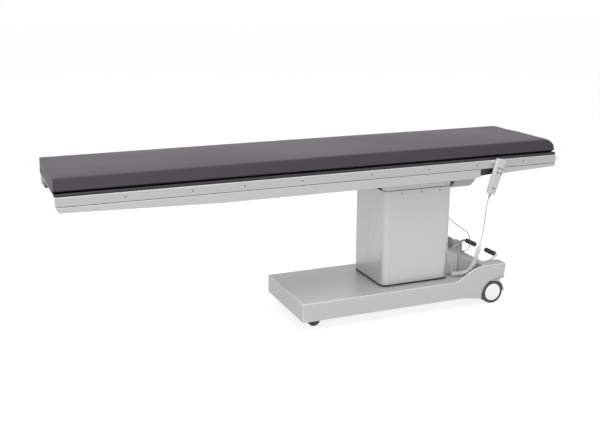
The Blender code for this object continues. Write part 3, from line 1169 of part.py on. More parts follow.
def build_handset_body(hand):
    """Tapered body with four push buttons and the strain relief; built in the handset's own axes."""
    top, foot = HANDSET_TOP_WIDTH / 2, HANDSET_FOOT_WIDTH / 2
    r = HANDSET_CORNER
    outline = [
        *arc((-foot + r, -HANDSET_LENGTH + r), r, 183, 270, 4), *arc((foot - r, -HANDSET_LENGTH + r), r, 270, 357, 4),
        *arc((top - r, -r), r, 3, 90, 4), *arc((-top + r, -r), r, 90, 177, 4),
    ]
    body = prism("handset_body", hand, outline, -HANDSET_THICKNESS, 0.0, "XZ", HANDSET_PLASTIC, HANDSET_EDGE_RADIUS, 2)
    number = 0
    for row in range(2):
        for column in (-0.5, 0.5):
            number += 1
            x = BUTTON_SHIFT + column * BUTTON_SPACING_X
            z = -BUTTON_DROP - row * BUTTON_SPACING_Z
            hole_depth = BUTTON_DEPTH + BUTTON_TRAVEL + FIT
            cut(body, cylinder(f"button hole {number}", hand, (x, -HANDSET_THICKNESS, z), BUTTON_RADIUS + BUTTON_CLEARANCE,
                               2 * hole_depth, "Y", segments=SMALL_SEGMENTS))
            inner = -HANDSET_THICKNESS + BUTTON_DEPTH
            outer = -HANDSET_THICKNESS - BUTTON_HEIGHT
            cylinder(f"handset_button_{number}", hand, (x, (inner + outer) / 2, z), BUTTON_RADIUS, inner - outer, "Y",
                     RUBBER, segments=SMALL_SEGMENTS)
    cut(body, box("handset slot", hand, (-SLOT_LENGTH / 2, -HANDSET_THICKNESS - CUT_MARGIN, -SLOT_DROP - SLOT_HEIGHT / 2),
                  (SLOT_LENGTH / 2, -HANDSET_THICKNESS + SLOT_DEPTH, -SLOT_DROP + SLOT_HEIGHT / 2)))
    relief = [(0, 0), (RELIEF_RADIUS, 0), (RELIEF_RADIUS, -0.004), (CORD_RADIUS + 0.001, -RELIEF_LENGTH), (0, -RELIEF_LENGTH)]
    turned("handset_strain_relief", hand, (0, -HANDSET_THICKNESS / 2, -HANDSET_LENGTH - FIT), relief, "Z", RUBBER,
           segments=SMALL_SEGMENTS)


def relief_end():
    """Where the cord leaves the strain relief, in table coordinates, and its direction there."""
    down = Vector((-math.sin(HANDSET_TILT), 0.0, -math.cos(HANDSET_TILT)))
    start = Vector((HANDSET_X, HANDSET_BACK_Y - HANDSET_THICKNESS / 2, HANDSET_TOP_Z))
    return start + down * (HANDSET_LENGTH + RELIEF_LENGTH + 2 * FIT), down


def build_cords(base, top):
    """Handset cord in three lengths, and the thin cord between the column and the rear cover."""
    start, down = relief_end()
    route = [start, start + down * 0.010, *[Vector(p) for p in HANDSET_CORD_ROUTE]]
    coil_top, coil_next = Vector(COIL_ROUTE[0]), Vector(COIL_ROUTE[1])
    route.append(coil_top + (coil_top - coil_next).normalized() * 2 * FIT)
    tube("handset_cord", top, smooth_route(route, 0.010), CORD_RADIUS, CORD_PLASTIC)
    tube("handset_coil", base, smooth_route(COIL_ROUTE, 0.014), COIL_RADIUS, CORD_PLASTIC, 3)
    lead_end = Vector((LEAD_ENTRY_X, -HOOD_WIDTH / 2 - GLAND_LENGTH - FIT, LEAD_ENTRY_Z))
    lead = [*LEAD_ROUTE, lead_end - Vector((0.0, 0.005, 0.0)), lead_end]
    tube("handset_lead", base, smooth_route(lead, 0.006), CORD_RADIUS, CORD_PLASTIC)
    aux_start = Vector((COVER_RIGHT_X + GLAND_LENGTH + FIT, AUX_EXIT_Y, AUX_EXIT_Z))
    aux_end = Vector((AUX_ENTRY_X + ELBOW_LENGTH + FIT, AUX_ENTRY_Y, ELBOW_Z))
    straight = Vector((0.007, 0.0, 0.0))
    aux = [aux_start, aux_start + straight, *AUX_CORD_ROUTE, aux_end + straight, aux_end]
    tube("aux_cord", base, smooth_route(aux, 0.012), AUX_CORD_RADIUS, CORD_PLASTIC)


def build_table():
    root = Space("table", (0, 0, 0))
    lift = Space("lift", (COLUMN_X, 0, PIVOT_Z), root)
    roll = Space("roll", (COLUMN_X, 0, PIVOT_Z), lift)
    top = Space("top", (0, 0, RAIL_TOP_Z), roll)
    pedals = Space("pedals", (PEDAL_SHAFT_X, 0, PEDAL_SHAFT_Z), root)
    build_rails(top)
    build_beams(top)
    build_carriages(top)
    build_carbon_top(top)
    build_mattress(top)
    build_tilt_frame(roll)
    build_drive_box(roll)
    build_cardan_cross(lift)
    build_column_head(lift)
    build_column_covers(root)
    build_lift(root, lift)
    build_base_cover(root)
    build_chassis(root)
    build_rear_cover(root)
    build_rear_hood(root)
    build_socket_box(root)
    build_pedals(pedals)
    build_castors(root)
    build_handset(top)
    build_cords(root, top)
    root.empty.location = (-ORIGIN_X, -ORIGIN_Y, 0.0)
    bpy.context.view_layer.update()


clear_scene()
parts = bpy.data.collections.new("operating_table")
cutters = bpy.data.collections.new("cutters")
bpy.context.scene.collection.children.link(parts)
bpy.context.scene.collection.children.link(cutters)
build_table()
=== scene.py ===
"""Dress an operating table for a catalogue picture.

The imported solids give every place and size. This script adds the padded top, the coiled and thin
cords and the finishes of metal, moulded plastic, rubber and coated fabric, and sets up a plain
studio with the camera that the picture was taken with. All lengths are in metres.
"""

import logging
import math
from dataclasses import dataclass, field
from enum import Enum

import bmesh
import bpy
from mathutils import Euler, Matrix, Vector


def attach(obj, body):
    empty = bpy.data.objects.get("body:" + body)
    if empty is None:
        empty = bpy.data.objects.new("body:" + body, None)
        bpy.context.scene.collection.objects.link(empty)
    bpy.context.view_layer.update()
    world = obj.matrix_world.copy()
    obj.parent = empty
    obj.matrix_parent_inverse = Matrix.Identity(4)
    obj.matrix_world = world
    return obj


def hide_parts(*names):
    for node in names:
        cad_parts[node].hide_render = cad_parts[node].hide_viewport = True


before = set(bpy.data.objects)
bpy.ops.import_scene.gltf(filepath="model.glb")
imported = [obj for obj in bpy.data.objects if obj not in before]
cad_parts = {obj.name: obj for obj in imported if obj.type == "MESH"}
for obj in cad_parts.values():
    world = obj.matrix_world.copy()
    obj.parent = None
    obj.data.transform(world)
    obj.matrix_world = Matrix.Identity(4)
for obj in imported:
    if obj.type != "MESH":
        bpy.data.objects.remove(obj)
LOG = logging.getLogger("operating_table")
OFFSET = Vector((-0.00915, 0.01425, 0.0))   # added to a point measured from the middle of the rails
MIX_A, MIX_B, MIX_RESULT = 6, 7, 2      # colour sockets of a Mix node
MIDDLE_RANGE = (0.3, 0.7)               # where most of a noise pattern lies
EDGE_HIGHLIGHT_RANGE = (0.998, 0.90)              # from a flat face to the painted edge highlight, as the cosine of the turn
WHITE = (1.0, 1.0, 1.0, 1.0)


def at(x: float, y: float, z: float) -> Vector:
    """Turn a point measured from the middle of the side rails into the frame.

    Args:
        x: Distance along the top from the middle of the rails.
        y: Distance across the top from its middle line.
        z: Height over the floor.

    Returns:
        The same point in the frame.
    """
    return Vector((x, y, z)) + OFFSET


class Grain(Enum):
    """Direction in which a metal was brushed."""

    ALONG = (1.5, 120.0, 120.0)
    UPRIGHT = (120.0, 120.0, 1.5)
    ACROSS = (120.0, 1.5, 120.0)
    NONE = (40.0, 40.0, 40.0)


class Shading:
    """Small helper that builds a material's node tree."""

    def __init__(self, name: str) -> None:
        """Start a material with a Principled shader.

        Args:
            name: The material's name.
        """
        self.material = bpy.data.materials.new(name)
        self.material.use_nodes = True
        self.tree = self.material.node_tree
        self.shader = self.tree.nodes["Principled BSDF"]
        self.coordinates = self.tree.nodes.new("ShaderNodeTexCoord").outputs["Object"]

    def add(self, kind: str, **values: object) -> bpy.types.Node:
        """Add a node and set its properties and sockets.

        Args:
            kind: The node's type name.
            **values: Properties, or sockets where spaces are written as underscores.

        Returns:
            The new node.
        """
        node = self.tree.nodes.new(kind)
        for name, value in values.items():
            if hasattr(node, name):
                setattr(node, name, value)
            else:
                self.feed(node.inputs[name.replace("_", " ")], value)
        return node

    def feed(self, socket: bpy.types.NodeSocket, value: object) -> None:
        """Set a socket to a value, or link it to an output.

        Args:
            socket: The input socket.
            value: A number, a colour or an output socket.
        """
        if isinstance(value, bpy.types.NodeSocket):
            self.tree.links.new(value, socket)
        else:
            socket.default_value = value

    def stretched(self, scale: tuple[float, float, float]) -> bpy.types.NodeSocket:
        """Return object coordinates multiplied by a scale.

        Args:
            scale: Factors along X, Y and Z.

        Returns:
            The scaled coordinates.
        """
        return self.add("ShaderNodeMapping", Vector=self.coordinates, Scale=scale).outputs[0]

    def noise(self, scale: float, detail: float = 2.0,
              vector: bpy.types.NodeSocket | None = None) -> bpy.types.NodeSocket:
        """Return the strength of a noise pattern.

        Args:
            scale: Patches per metre.
            detail: Finer layers on top.
            vector: Coordinates, or the object's own.

        Returns:
            A value around one half.
        """
        node = self.add("ShaderNodeTexNoise", Vector=vector or self.coordinates, Scale=scale, Detail=detail)
        return node.outputs[0]

    def between(self, low: float, high: float, value: bpy.types.NodeSocket) -> bpy.types.NodeSocket:
        """Spread a pattern's middle range over two limits.

        Args:
            low: Result where the pattern is weak.
            high: Result where the pattern is strong.
            value: The pattern.

        Returns:
            The spread pattern.
        """
        return self.spread(value, MIDDLE_RANGE, (low, high))

    def spread(self, value: bpy.types.NodeSocket, source: tuple[float, float],
               result: tuple[float, float]) -> bpy.types.NodeSocket:
        """Map a value from one range to another, and hold it there.

        Args:
            value: The value.
            source: Where the value starts and ends.
            result: What these two ends become.

        Returns:
            The mapped value.
        """
        node = self.add("ShaderNodeMapRange", Value=value)
        for name, number in zip(("From Min", "From Max", "To Min", "To Max"), (*source, *result)):
            node.inputs[name].default_value = number
        return node.outputs[0]

    def mix(self, share: bpy.types.NodeSocket, one: object, two: object) -> bpy.types.NodeSocket:
        """Blend two colours.

        Args:
            share: How much of the second colour shows.
            one: A colour or an output socket.
            two: A colour or an output socket.

        Returns:
            The blended colour.
        """
        node = self.add("ShaderNodeMix", data_type="RGBA")
        for place, value in (("Factor", share), (MIX_A, one), (MIX_B, two)):
            self.feed(node.inputs[place], value)
        return node.outputs[MIX_RESULT]

    def tint(self, dark: tuple[float, ...], light: tuple[float, ...],
             value: bpy.types.NodeSocket) -> bpy.types.NodeSocket:
        """Blend two colours by a pattern.

        Args:
            dark: Colour where the pattern is weak.
            light: Colour where the pattern is strong.
            value: The pattern.

        Returns:
            The blended colour.
        """
        return self.mix(self.between(0.0, 1.0, value), (*dark, 1.0), (*light, 1.0))

    def bump(self, height: bpy.types.NodeSocket, depth: float, strength: float = 1.0,
             under: bpy.types.NodeSocket | None = None) -> bpy.types.NodeSocket:
        """Turn a height pattern into a bent normal.

        Args:
            height: The pattern.
            depth: Height in metres of the whole range.
            strength: How much of it shows.
            under: A normal that is bent already.

        Returns:
            The bent normal.
        """
        node = self.add("ShaderNodeBump", Height=height, Distance=depth, Strength=strength)
        if under is not None:
            self.feed(node.inputs["Normal"], under)
        return node.outputs[0]

    def soft_edges(self, radius: float) -> bpy.types.NodeSocket:
        """Return a normal that rounds sharp edges.

        Args:
            radius: Radius of the rounding.

        Returns:
            The rounded normal.
        """
        return self.add("ShaderNodeBevel", samples=4, Radius=radius).outputs[0]

    def painted_edge_highlight(self, colour: bpy.types.NodeSocket, light: tuple[float, ...],
                       radius: float) -> bpy.types.NodeSocket:
        """Lighten the folded edges with a painted highlight, standing in for the light that the rounded bends
        catch.

        Args:
            colour: The colour of the faces.
            light: The colour of the painted highlight along the edges.
            radius: Width of the painted highlight band.

        Returns:
            The colour with its painted edge highlight.
        """
        rounded = self.add("ShaderNodeBevel", samples=6, Radius=radius).outputs[0]
        flat = self.add("ShaderNodeNewGeometry").outputs["Normal"]
        level = self.add("ShaderNodeVectorMath", operation="DOT_PRODUCT")
        self.feed(level.inputs[0], rounded)
        self.feed(level.inputs[1], flat)
        share = self.spread(level.outputs["Value"], EDGE_HIGHLIGHT_RANGE, (0.0, 1.0))
        return self.mix(share, colour, (*light, 1.0))

    def finish(self, **sockets: object) -> bpy.types.Material:
        """Set the shader's sockets and hand over the material.

        Args:
            **sockets: Values or outputs, with spaces written as underscores.

        Returns:
            The finished material.
        """
        for name, value in sockets.items():
            self.feed(self.shader.inputs[name.replace("_", " ")], value)
        return self.material


def shade(colour: tuple[float, float, float], factor: float) -> tuple[float, ...]:
    """Return a colour made lighter or darker by a factor."""
    return tuple(channel * factor for channel in colour)


@dataclass(frozen=True)
class PaintedMetal:
    """Baked paint on sheet metal: faint orange peel and slight clouding."""

    name: str
    colour: tuple[float, float, float]
    roughness: float = 0.34
    peel: float = 0.00004
    edge: float = 0.0015

    def material(self) -> bpy.types.Material:
        """Build the paint."""
        look = Shading(self.name)
        cloud = look.noise(3.0, 3.0)
        fine = look.noise(900.0, 2.0)
        normal = look.bump(fine, self.peel, 0.5, look.soft_edges(self.edge))
        return look.finish(Base_Color=look.tint(shade(self.colour, 0.97), shade(self.colour, 1.03), cloud),
                           Metallic=0.0, Specular_IOR_Level=0.45, Normal=normal,
                           Roughness=look.between(self.roughness - 0.03, self.roughness + 0.05, cloud))


@dataclass(frozen=True)
class BrushedMetal:
    """Bare metal with fine brush lines and a painted highlight along its edges."""

    name: str
    colour: tuple[float, float, float]
    roughness: float = 0.32
    grain: Grain = Grain.ALONG
    metallic: float = 0.85
    edge: float = 0.0008
    edge_highlight: float = 1.25        # how much lighter the painted edge highlight is

    def material(self) -> bpy.types.Material:
        """Build the brushed surface."""
        look = Shading(self.name)
        lines = look.noise(9.0, 6.0, look.stretched(self.grain.value))
        normal = look.bump(lines, 0.000004, 0.5, look.soft_edges(self.edge))
        brushed = look.tint(shade(self.colour, 0.985), shade(self.colour, 1.01), lines)
        # painted highlight: the edges are lightened to stand in for light caught on the rounded bends
        highlighted = look.painted_edge_highlight(brushed, shade(self.colour, self.edge_highlight), self.edge)
        return look.finish(Base_Color=highlighted, Metallic=self.metallic, Normal=normal,
                           Roughness=look.between(self.roughness - 0.003, self.roughness + 0.003, lines))


@dataclass(frozen=True)
class MouldedPlastic:
    """Moulded plastic with a fine spark-eroded grain."""

    name: str
    colour: tuple[float, float, float]
    roughness: float = 0.48
    grain: float = 0.00006
    edge: float = 0.0010

    def material(self) -> bpy.types.Material:
        """Build the moulded surface."""
        look = Shading(self.name)
        cloud = look.noise(5.0, 3.0)
        cells = look.add("ShaderNodeTexVoronoi", Vector=look.coordinates, Scale=1400.0).outputs["Distance"]
        normal = look.bump(cells, self.grain, 0.5, look.soft_edges(self.edge))
        return look.finish(Base_Color=look.tint(shade(self.colour, 0.96), shade(self.colour, 1.04), cloud),
                           Specular_IOR_Level=0.3, Normal=normal,
                           Roughness=look.between(self.roughness - 0.04, self.roughness + 0.06, cloud))


@dataclass(frozen=True)
class SoftRubber:
    """Matt rubber with a dusty bloom."""

    name: str
    colour: tuple[float, float, float] = (0.028, 0.028, 0.030)
    roughness: float = 0.62

    def material(self) -> bpy.types.Material:
        """Build the rubber."""
        look = Shading(self.name)
        bloom = look.noise(60.0, 5.0)
        fine = look.noise(1200.0, 2.0)
        return look.finish(Base_Color=look.tint(shade(self.colour, 0.8), shade(self.colour, 1.5), bloom),
                           Roughness=look.between(self.roughness - 0.08, self.roughness + 0.1, bloom),
                           Normal=look.bump(fine, 0.00005, 0.5, look.soft_edges(0.0008)))


@dataclass(frozen=True)
class CarbonWeave:
    """Twill of black fibre under clear resin."""

    name: str
    tow: float = 0.0025

    def material(self) -> bpy.types.Material:
        """Build the weave under its clear coat."""
        look = Shading(self.name)
        weave = look.add("ShaderNodeTexChecker", Vector=look.coordinates, Scale=1.0 / self.tow).outputs["Fac"]
        sheen = look.noise(2.0, 2.0)
        return look.finish(Base_Color=look.tint((0.004, 0.004, 0.005), (0.010, 0.010, 0.011), weave),
                           Roughness=look.between(0.26, 0.36, sheen), Coat_Weight=0.24, Coat_Roughness=0.12,
                           Normal=look.bump(weave, 0.00002, 0.4, look.soft_edges(0.001)))


@dataclass(frozen=True)
class CoatedFabric:
    """Elastic coated fabric of the pad: pebbled grain over a soft knit."""

    name: str
    colour: tuple[float, float, float]
    roughness: float = 0.5

    def material(self) -> bpy.types.Material:
        """Build the coated fabric."""
        look = Shading(self.name)
        cloud = look.noise(1.6, 3.0)
        pebbles = look.add("ShaderNodeTexVoronoi", Vector=look.coordinates, Scale=620.0).outputs["Distance"]
        creases = look.noise(11.0, 3.0, look.stretched((0.35, 1.0, 1.0)))
        grain = look.bump(pebbles, 0.00012, 0.55)
        normal = look.bump(creases, 0.0016, 0.35, grain)
        return look.finish(Base_Color=look.tint(shade(self.colour, 0.94), shade(self.colour, 1.07), cloud),
                           Roughness=look.between(self.roughness - 0.05, self.roughness + 0.07, cloud),
                           Specular_IOR_Level=0.30, Specular_Tint=(1.0, 0.80, 0.98, 1.0), Normal=normal)


@dataclass(frozen=True)
class CordJacket:
    """Smooth extruded jacket of a cord."""

    name: str
    colour: tuple[float, float, float]

    def material(self) -> bpy.types.Material:
        """Build the jacket."""
        look = Shading(self.name)
        handled = look.noise(25.0, 4.0)
        return look.finish(Base_Color=look.tint(shade(self.colour, 0.92), shade(self.colour, 1.04), handled),
                           Roughness=look.between(0.38, 0.5, handled),
                           Normal=look.bump(look.noise(700.0), 0.00003, 0.4))


@dataclass
class Finishes:
    """Every finish of the table, each made once."""

    # edge_highlight sets how much lighter the painted highlight along the edges is
    base: BrushedMetal = BrushedMetal("base_steel", (0.455, 0.455, 0.455), roughness=0.34, metallic=0.22,
                                      edge=0.0055, edge_highlight=2.0)
    column: BrushedMetal = BrushedMetal("column_steel", (0.492, 0.492, 0.492), roughness=0.27,
                                        grain=Grain.UPRIGHT, metallic=0.45, edge=0.0025)
    beam: BrushedMetal = BrushedMetal("beam_steel", (0.455, 0.455, 0.455), roughness=0.33, metallic=0.45,
                                      edge=0.003, edge_highlight=1.4)
    rail: BrushedMetal = BrushedMetal("rail_aluminium", (0.41, 0.41, 0.415), roughness=0.34, metallic=0.22,
                                      edge=0.004, edge_highlight=1.7)
    paint: PaintedMetal = PaintedMetal("silver_grey_paint", (0.50, 0.50, 0.50))
    fender: PaintedMetal = PaintedMetal("castor_paint", (0.68, 0.68, 0.68))
    steel: BrushedMetal = BrushedMetal("machined_steel", (0.50, 0.50, 0.51), grain=Grain.NONE)
    screw: BrushedMetal = BrushedMetal("screw_steel", (0.29, 0.29, 0.295), roughness=0.4, grain=Grain.NONE)
    satin: BrushedMetal = BrushedMetal("pedal_steel", (0.50, 0.50, 0.505), roughness=0.26, grain=Grain.NONE)
    bright: BrushedMetal = BrushedMetal("bright_steel", (0.72, 0.72, 0.73), roughness=0.16, grain=Grain.NONE,
                                        metallic=1.0)
    grey_plastic: MouldedPlastic = MouldedPlastic("grey_moulding", (0.41, 0.41, 0.415))
    hood_plastic: MouldedPlastic = MouldedPlastic("hood_moulding", (0.51, 0.51, 0.51))
    box_plastic: MouldedPlastic = MouldedPlastic("socket_moulding", (0.27, 0.27, 0.275))
    pale_plastic: MouldedPlastic = MouldedPlastic("pale_moulding", (0.86, 0.86, 0.85), roughness=0.35)
    handset: MouldedPlastic = MouldedPlastic("handset_moulding", (0.49, 0.49, 0.485), edge=0.002)
    button: MouldedPlastic = MouldedPlastic("button_moulding", (0.10, 0.10, 0.102), edge=0.0005)
    relief: MouldedPlastic = MouldedPlastic("relief_moulding", (0.24, 0.24, 0.24), edge=0.0005)
    carbon: CarbonWeave = CarbonWeave("carbon_weave")
    black: PaintedMetal = PaintedMetal("black_enamel", (0.022, 0.022, 0.024), roughness=0.4)
    rubber: SoftRubber = SoftRubber("black_rubber")
    seal: SoftRubber = SoftRubber("seal_rubber", (0.010, 0.010, 0.011), 0.7)
    tyre: SoftRubber = SoftRubber("castor_tread", (0.045, 0.045, 0.047), 0.55)
    pad: CoatedFabric = CoatedFabric("pad_cover", (0.0435, 0.0385, 0.0462))
    cord: CordJacket = CordJacket("cord_jacket", (0.61, 0.61, 0.605))
    # painted shade: the straight drop is the same cord as the coil, in a darker copy of its jacket
    shaded_drop_cord: CordJacket = CordJacket("shaded_drop_cord_jacket", (0.40, 0.40, 0.395))
    thin_cord: CordJacket = CordJacket("thin_cord_jacket", (0.20, 0.20, 0.20))
    made: dict[str, bpy.types.Material] = field(default_factory=dict)

    def of(self, name: str) -> bpy.types.Material:
        """Return a finish's material, building it the first time.

        Args:
            name: The field that holds the finish.

        Returns:
            The material.
        """
        if name not in self.made:
            self.made[name] = getattr(self, name).material()
        return self.made[name]

    def dress(self, name: str, *nodes: str) -> None:
        """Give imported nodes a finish.

        Args:
            name: The field that holds the finish.
            *nodes: Names of the nodes.
        """
        for node in nodes:
            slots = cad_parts[node].material_slots
            for slot in slots:
                slot.material = self.of(name)
            LOG.info("dressed %s in %s", node, name)


def link_mesh(name: str, bm: bmesh.types.BMesh) -> bpy.types.Object:
    """Turn a shape into an object of the scene.

    Args:
        name: Name of the piece.
        bm: The shape, which is freed.

    Returns:
        The object.
    """
    mesh = bpy.data.meshes.new(name)
    bm.to_mesh(mesh)
    bm.free()
    piece = bpy.data.objects.new(name, mesh)
    bpy.context.scene.collection.objects.link(piece)
    return piece


def seen_directly(tree: bpy.types.NodeTree) -> bpy.types.NodeSocket:
    """Return a value that is 1 for what the camera sees, also off a shiny face, and 0 for other light.

    Args:
        tree: The node tree that needs the value.

    Returns:
        The value.
    """
    ray = tree.nodes.new("ShaderNodeLightPath")
    seen = tree.nodes.new("ShaderNodeMath")
    seen.operation = "MAXIMUM"
    tree.links.new(ray.outputs["Is Camera Ray"], seen.inputs[0])
    tree.links.new(ray.outputs["Is Glossy Ray"], seen.inputs[1])
    return seen.outputs[0]


@dataclass
class Studio:
    """Pale floor, soft lamps and the camera."""

    camera_place: tuple[float, float, float] = (-1.580, -3.664, 1.570)
    turned: float = 0.3925      # towards the right, from straight across the table
    lowered: float = 0.2713
    rolled: float = 0.0022      # anticlockwise, as the camera sees it
    focal_length: float = 51.35
    floor_size: float = 60.0
    floor_grey: float = 0.78    # in the light that it throws back
    floor_shown: float = 0.30   # to the camera, under the glow
    floor_glow: float = 0.80
    sky: float = 0.62
    overhead: float = 108.0
    front: float = 48.0
    left: float = 58.0

    def place_camera(self) -> None:
        """Set the camera as the picture was taken."""
        data = bpy.data.cameras.new("camera")
        data.lens = self.focal_length
        data.sensor_width = 36.0
        data.sensor_fit = "HORIZONTAL"
        camera = bpy.data.objects.new("camera", data)
        camera.location = at(*self.camera_place)
        level = Euler((math.pi / 2 - self.lowered, 0.0, -self.turned)).to_matrix()
        camera.rotation_euler = (level @ Matrix.Rotation(self.rolled, 3, "Z")).to_euler()
        bpy.context.scene.collection.objects.link(camera)
        bpy.context.scene.camera = camera

    def lay_floor(self) -> None:
        """Lay a pale floor that shows white to the camera and keeps the shadow."""
        bm = bmesh.new()
        bmesh.ops.create_grid(bm, x_segments=4, y_segments=4, size=self.floor_size / 2)
        floor = link_mesh("studio_floor", bm)
        look = Shading("studio_floor")
        tree, nodes = look.tree, look.tree.nodes
        paint = look.add("ShaderNodeBsdfDiffuse", Color=(*shade(WHITE[:3], self.floor_grey), 1.0))
        faint = look.add("ShaderNodeBsdfDiffuse", Color=(*shade(WHITE[:3], self.floor_shown), 1.0))
        glow = look.add("ShaderNodeEmission", Color=WHITE, Strength=self.floor_glow)
        both = look.add("ShaderNodeAddShader")
        tree.links.new(faint.outputs[0], both.inputs[0])
        tree.links.new(glow.outputs[0], both.inputs[1])
        mixed = look.add("ShaderNodeMixShader")
        tree.links.new(seen_directly(tree), mixed.inputs[0])
        tree.links.new(paint.outputs[0], mixed.inputs[1])
        tree.links.new(both.outputs[0], mixed.inputs[2])
        tree.links.new(mixed.outputs[0], nodes["Material Output"].inputs["Surface"])
        nodes.remove(look.shader)
        floor.data.materials.append(look.material)

    def light(self) -> None:
        """Hang a broad softbox over the table, one in front and one on the left, under an even sky."""
        for name, place, size, power, aim in (
            ("overhead_softbox", (-0.4, -0.6, 3.4), (4.5, 2.6), self.overhead, (0.0, 0.0, 0.6)),
            ("front_softbox", (-1.6, -4.6, 2.5), (3.2, 2.2), self.front, (0.2, 0.0, 0.45)),
            ("left_softbox", (-4.4, -1.9, 2.3), (2.8, 2.0), self.left, (0.3, 0.0, 0.4)),
        ):
            data = bpy.data.lights.new(name, "AREA")
            data.shape = "RECTANGLE"
            data.size, data.size_y = size
            data.energy = power
            lamp = bpy.data.objects.new(name, data)
            lamp.location = place
            lamp.rotation_euler = (Vector(aim) - Vector(place)).to_track_quat("-Z", "Y").to_euler()
            bpy.context.scene.collection.objects.link(lamp)

    def open_sky(self) -> None:
        """Light evenly from all round, and show white to the camera."""
        world = bpy.data.worlds.new("studio_sky")
        bpy.context.scene.world = world
        world.use_nodes = True
        tree = world.node_tree
        strength = tree.nodes.new("ShaderNodeMapRange")
        strength.inputs["To Min"].default_value = self.sky
        strength.inputs["To Max"].default_value = 1.0
        tree.links.new(seen_directly(tree), strength.inputs["Value"])
        background = tree.nodes["Background"]
        background.inputs["Color"].default_value = WHITE
        tree.links.new(strength.outputs[0], background.inputs["Strength"])

    def build(self) -> None:
        """Set up camera, floor, lamps and sky."""
        self.place_camera()
        self.lay_floor()
        self.light()
        self.open_sky()
        bpy.context.scene.view_settings.view_transform = "Standard"
        LOG.info("studio is ready")


def smooth_route(route: list[Vector], spacing: float) -> list[Vector]:
    """Return points about a spacing apart on a smooth curve through given points.

    Args:
        route: The given points.
        spacing: Wanted distance between neighbours.

    Returns:
        The points of the curve.
    """
    knots = [2 * route[0] - route[1], *route, 2 * route[-1] - route[-2]]
    points = [knots[1]]
    for a, b, c, d in zip(knots, knots[1:], knots[2:], knots[3:]):
        count = max(1, round((c - b).length / spacing))
        for step in range(1, count + 1):
            t = step / count
            points.append(0.5 * (2 * b + (c - a) * t + (2 * a - 5 * b + 4 * c - d) * t * t
                                 + (3 * b - a - 3 * c + d) * t ** 3))
    return points


def route_length(points: list[Vector]) -> float:
    """Return the length of a row of points."""
    return sum((b - a).length for a, b in zip(points, points[1:]))


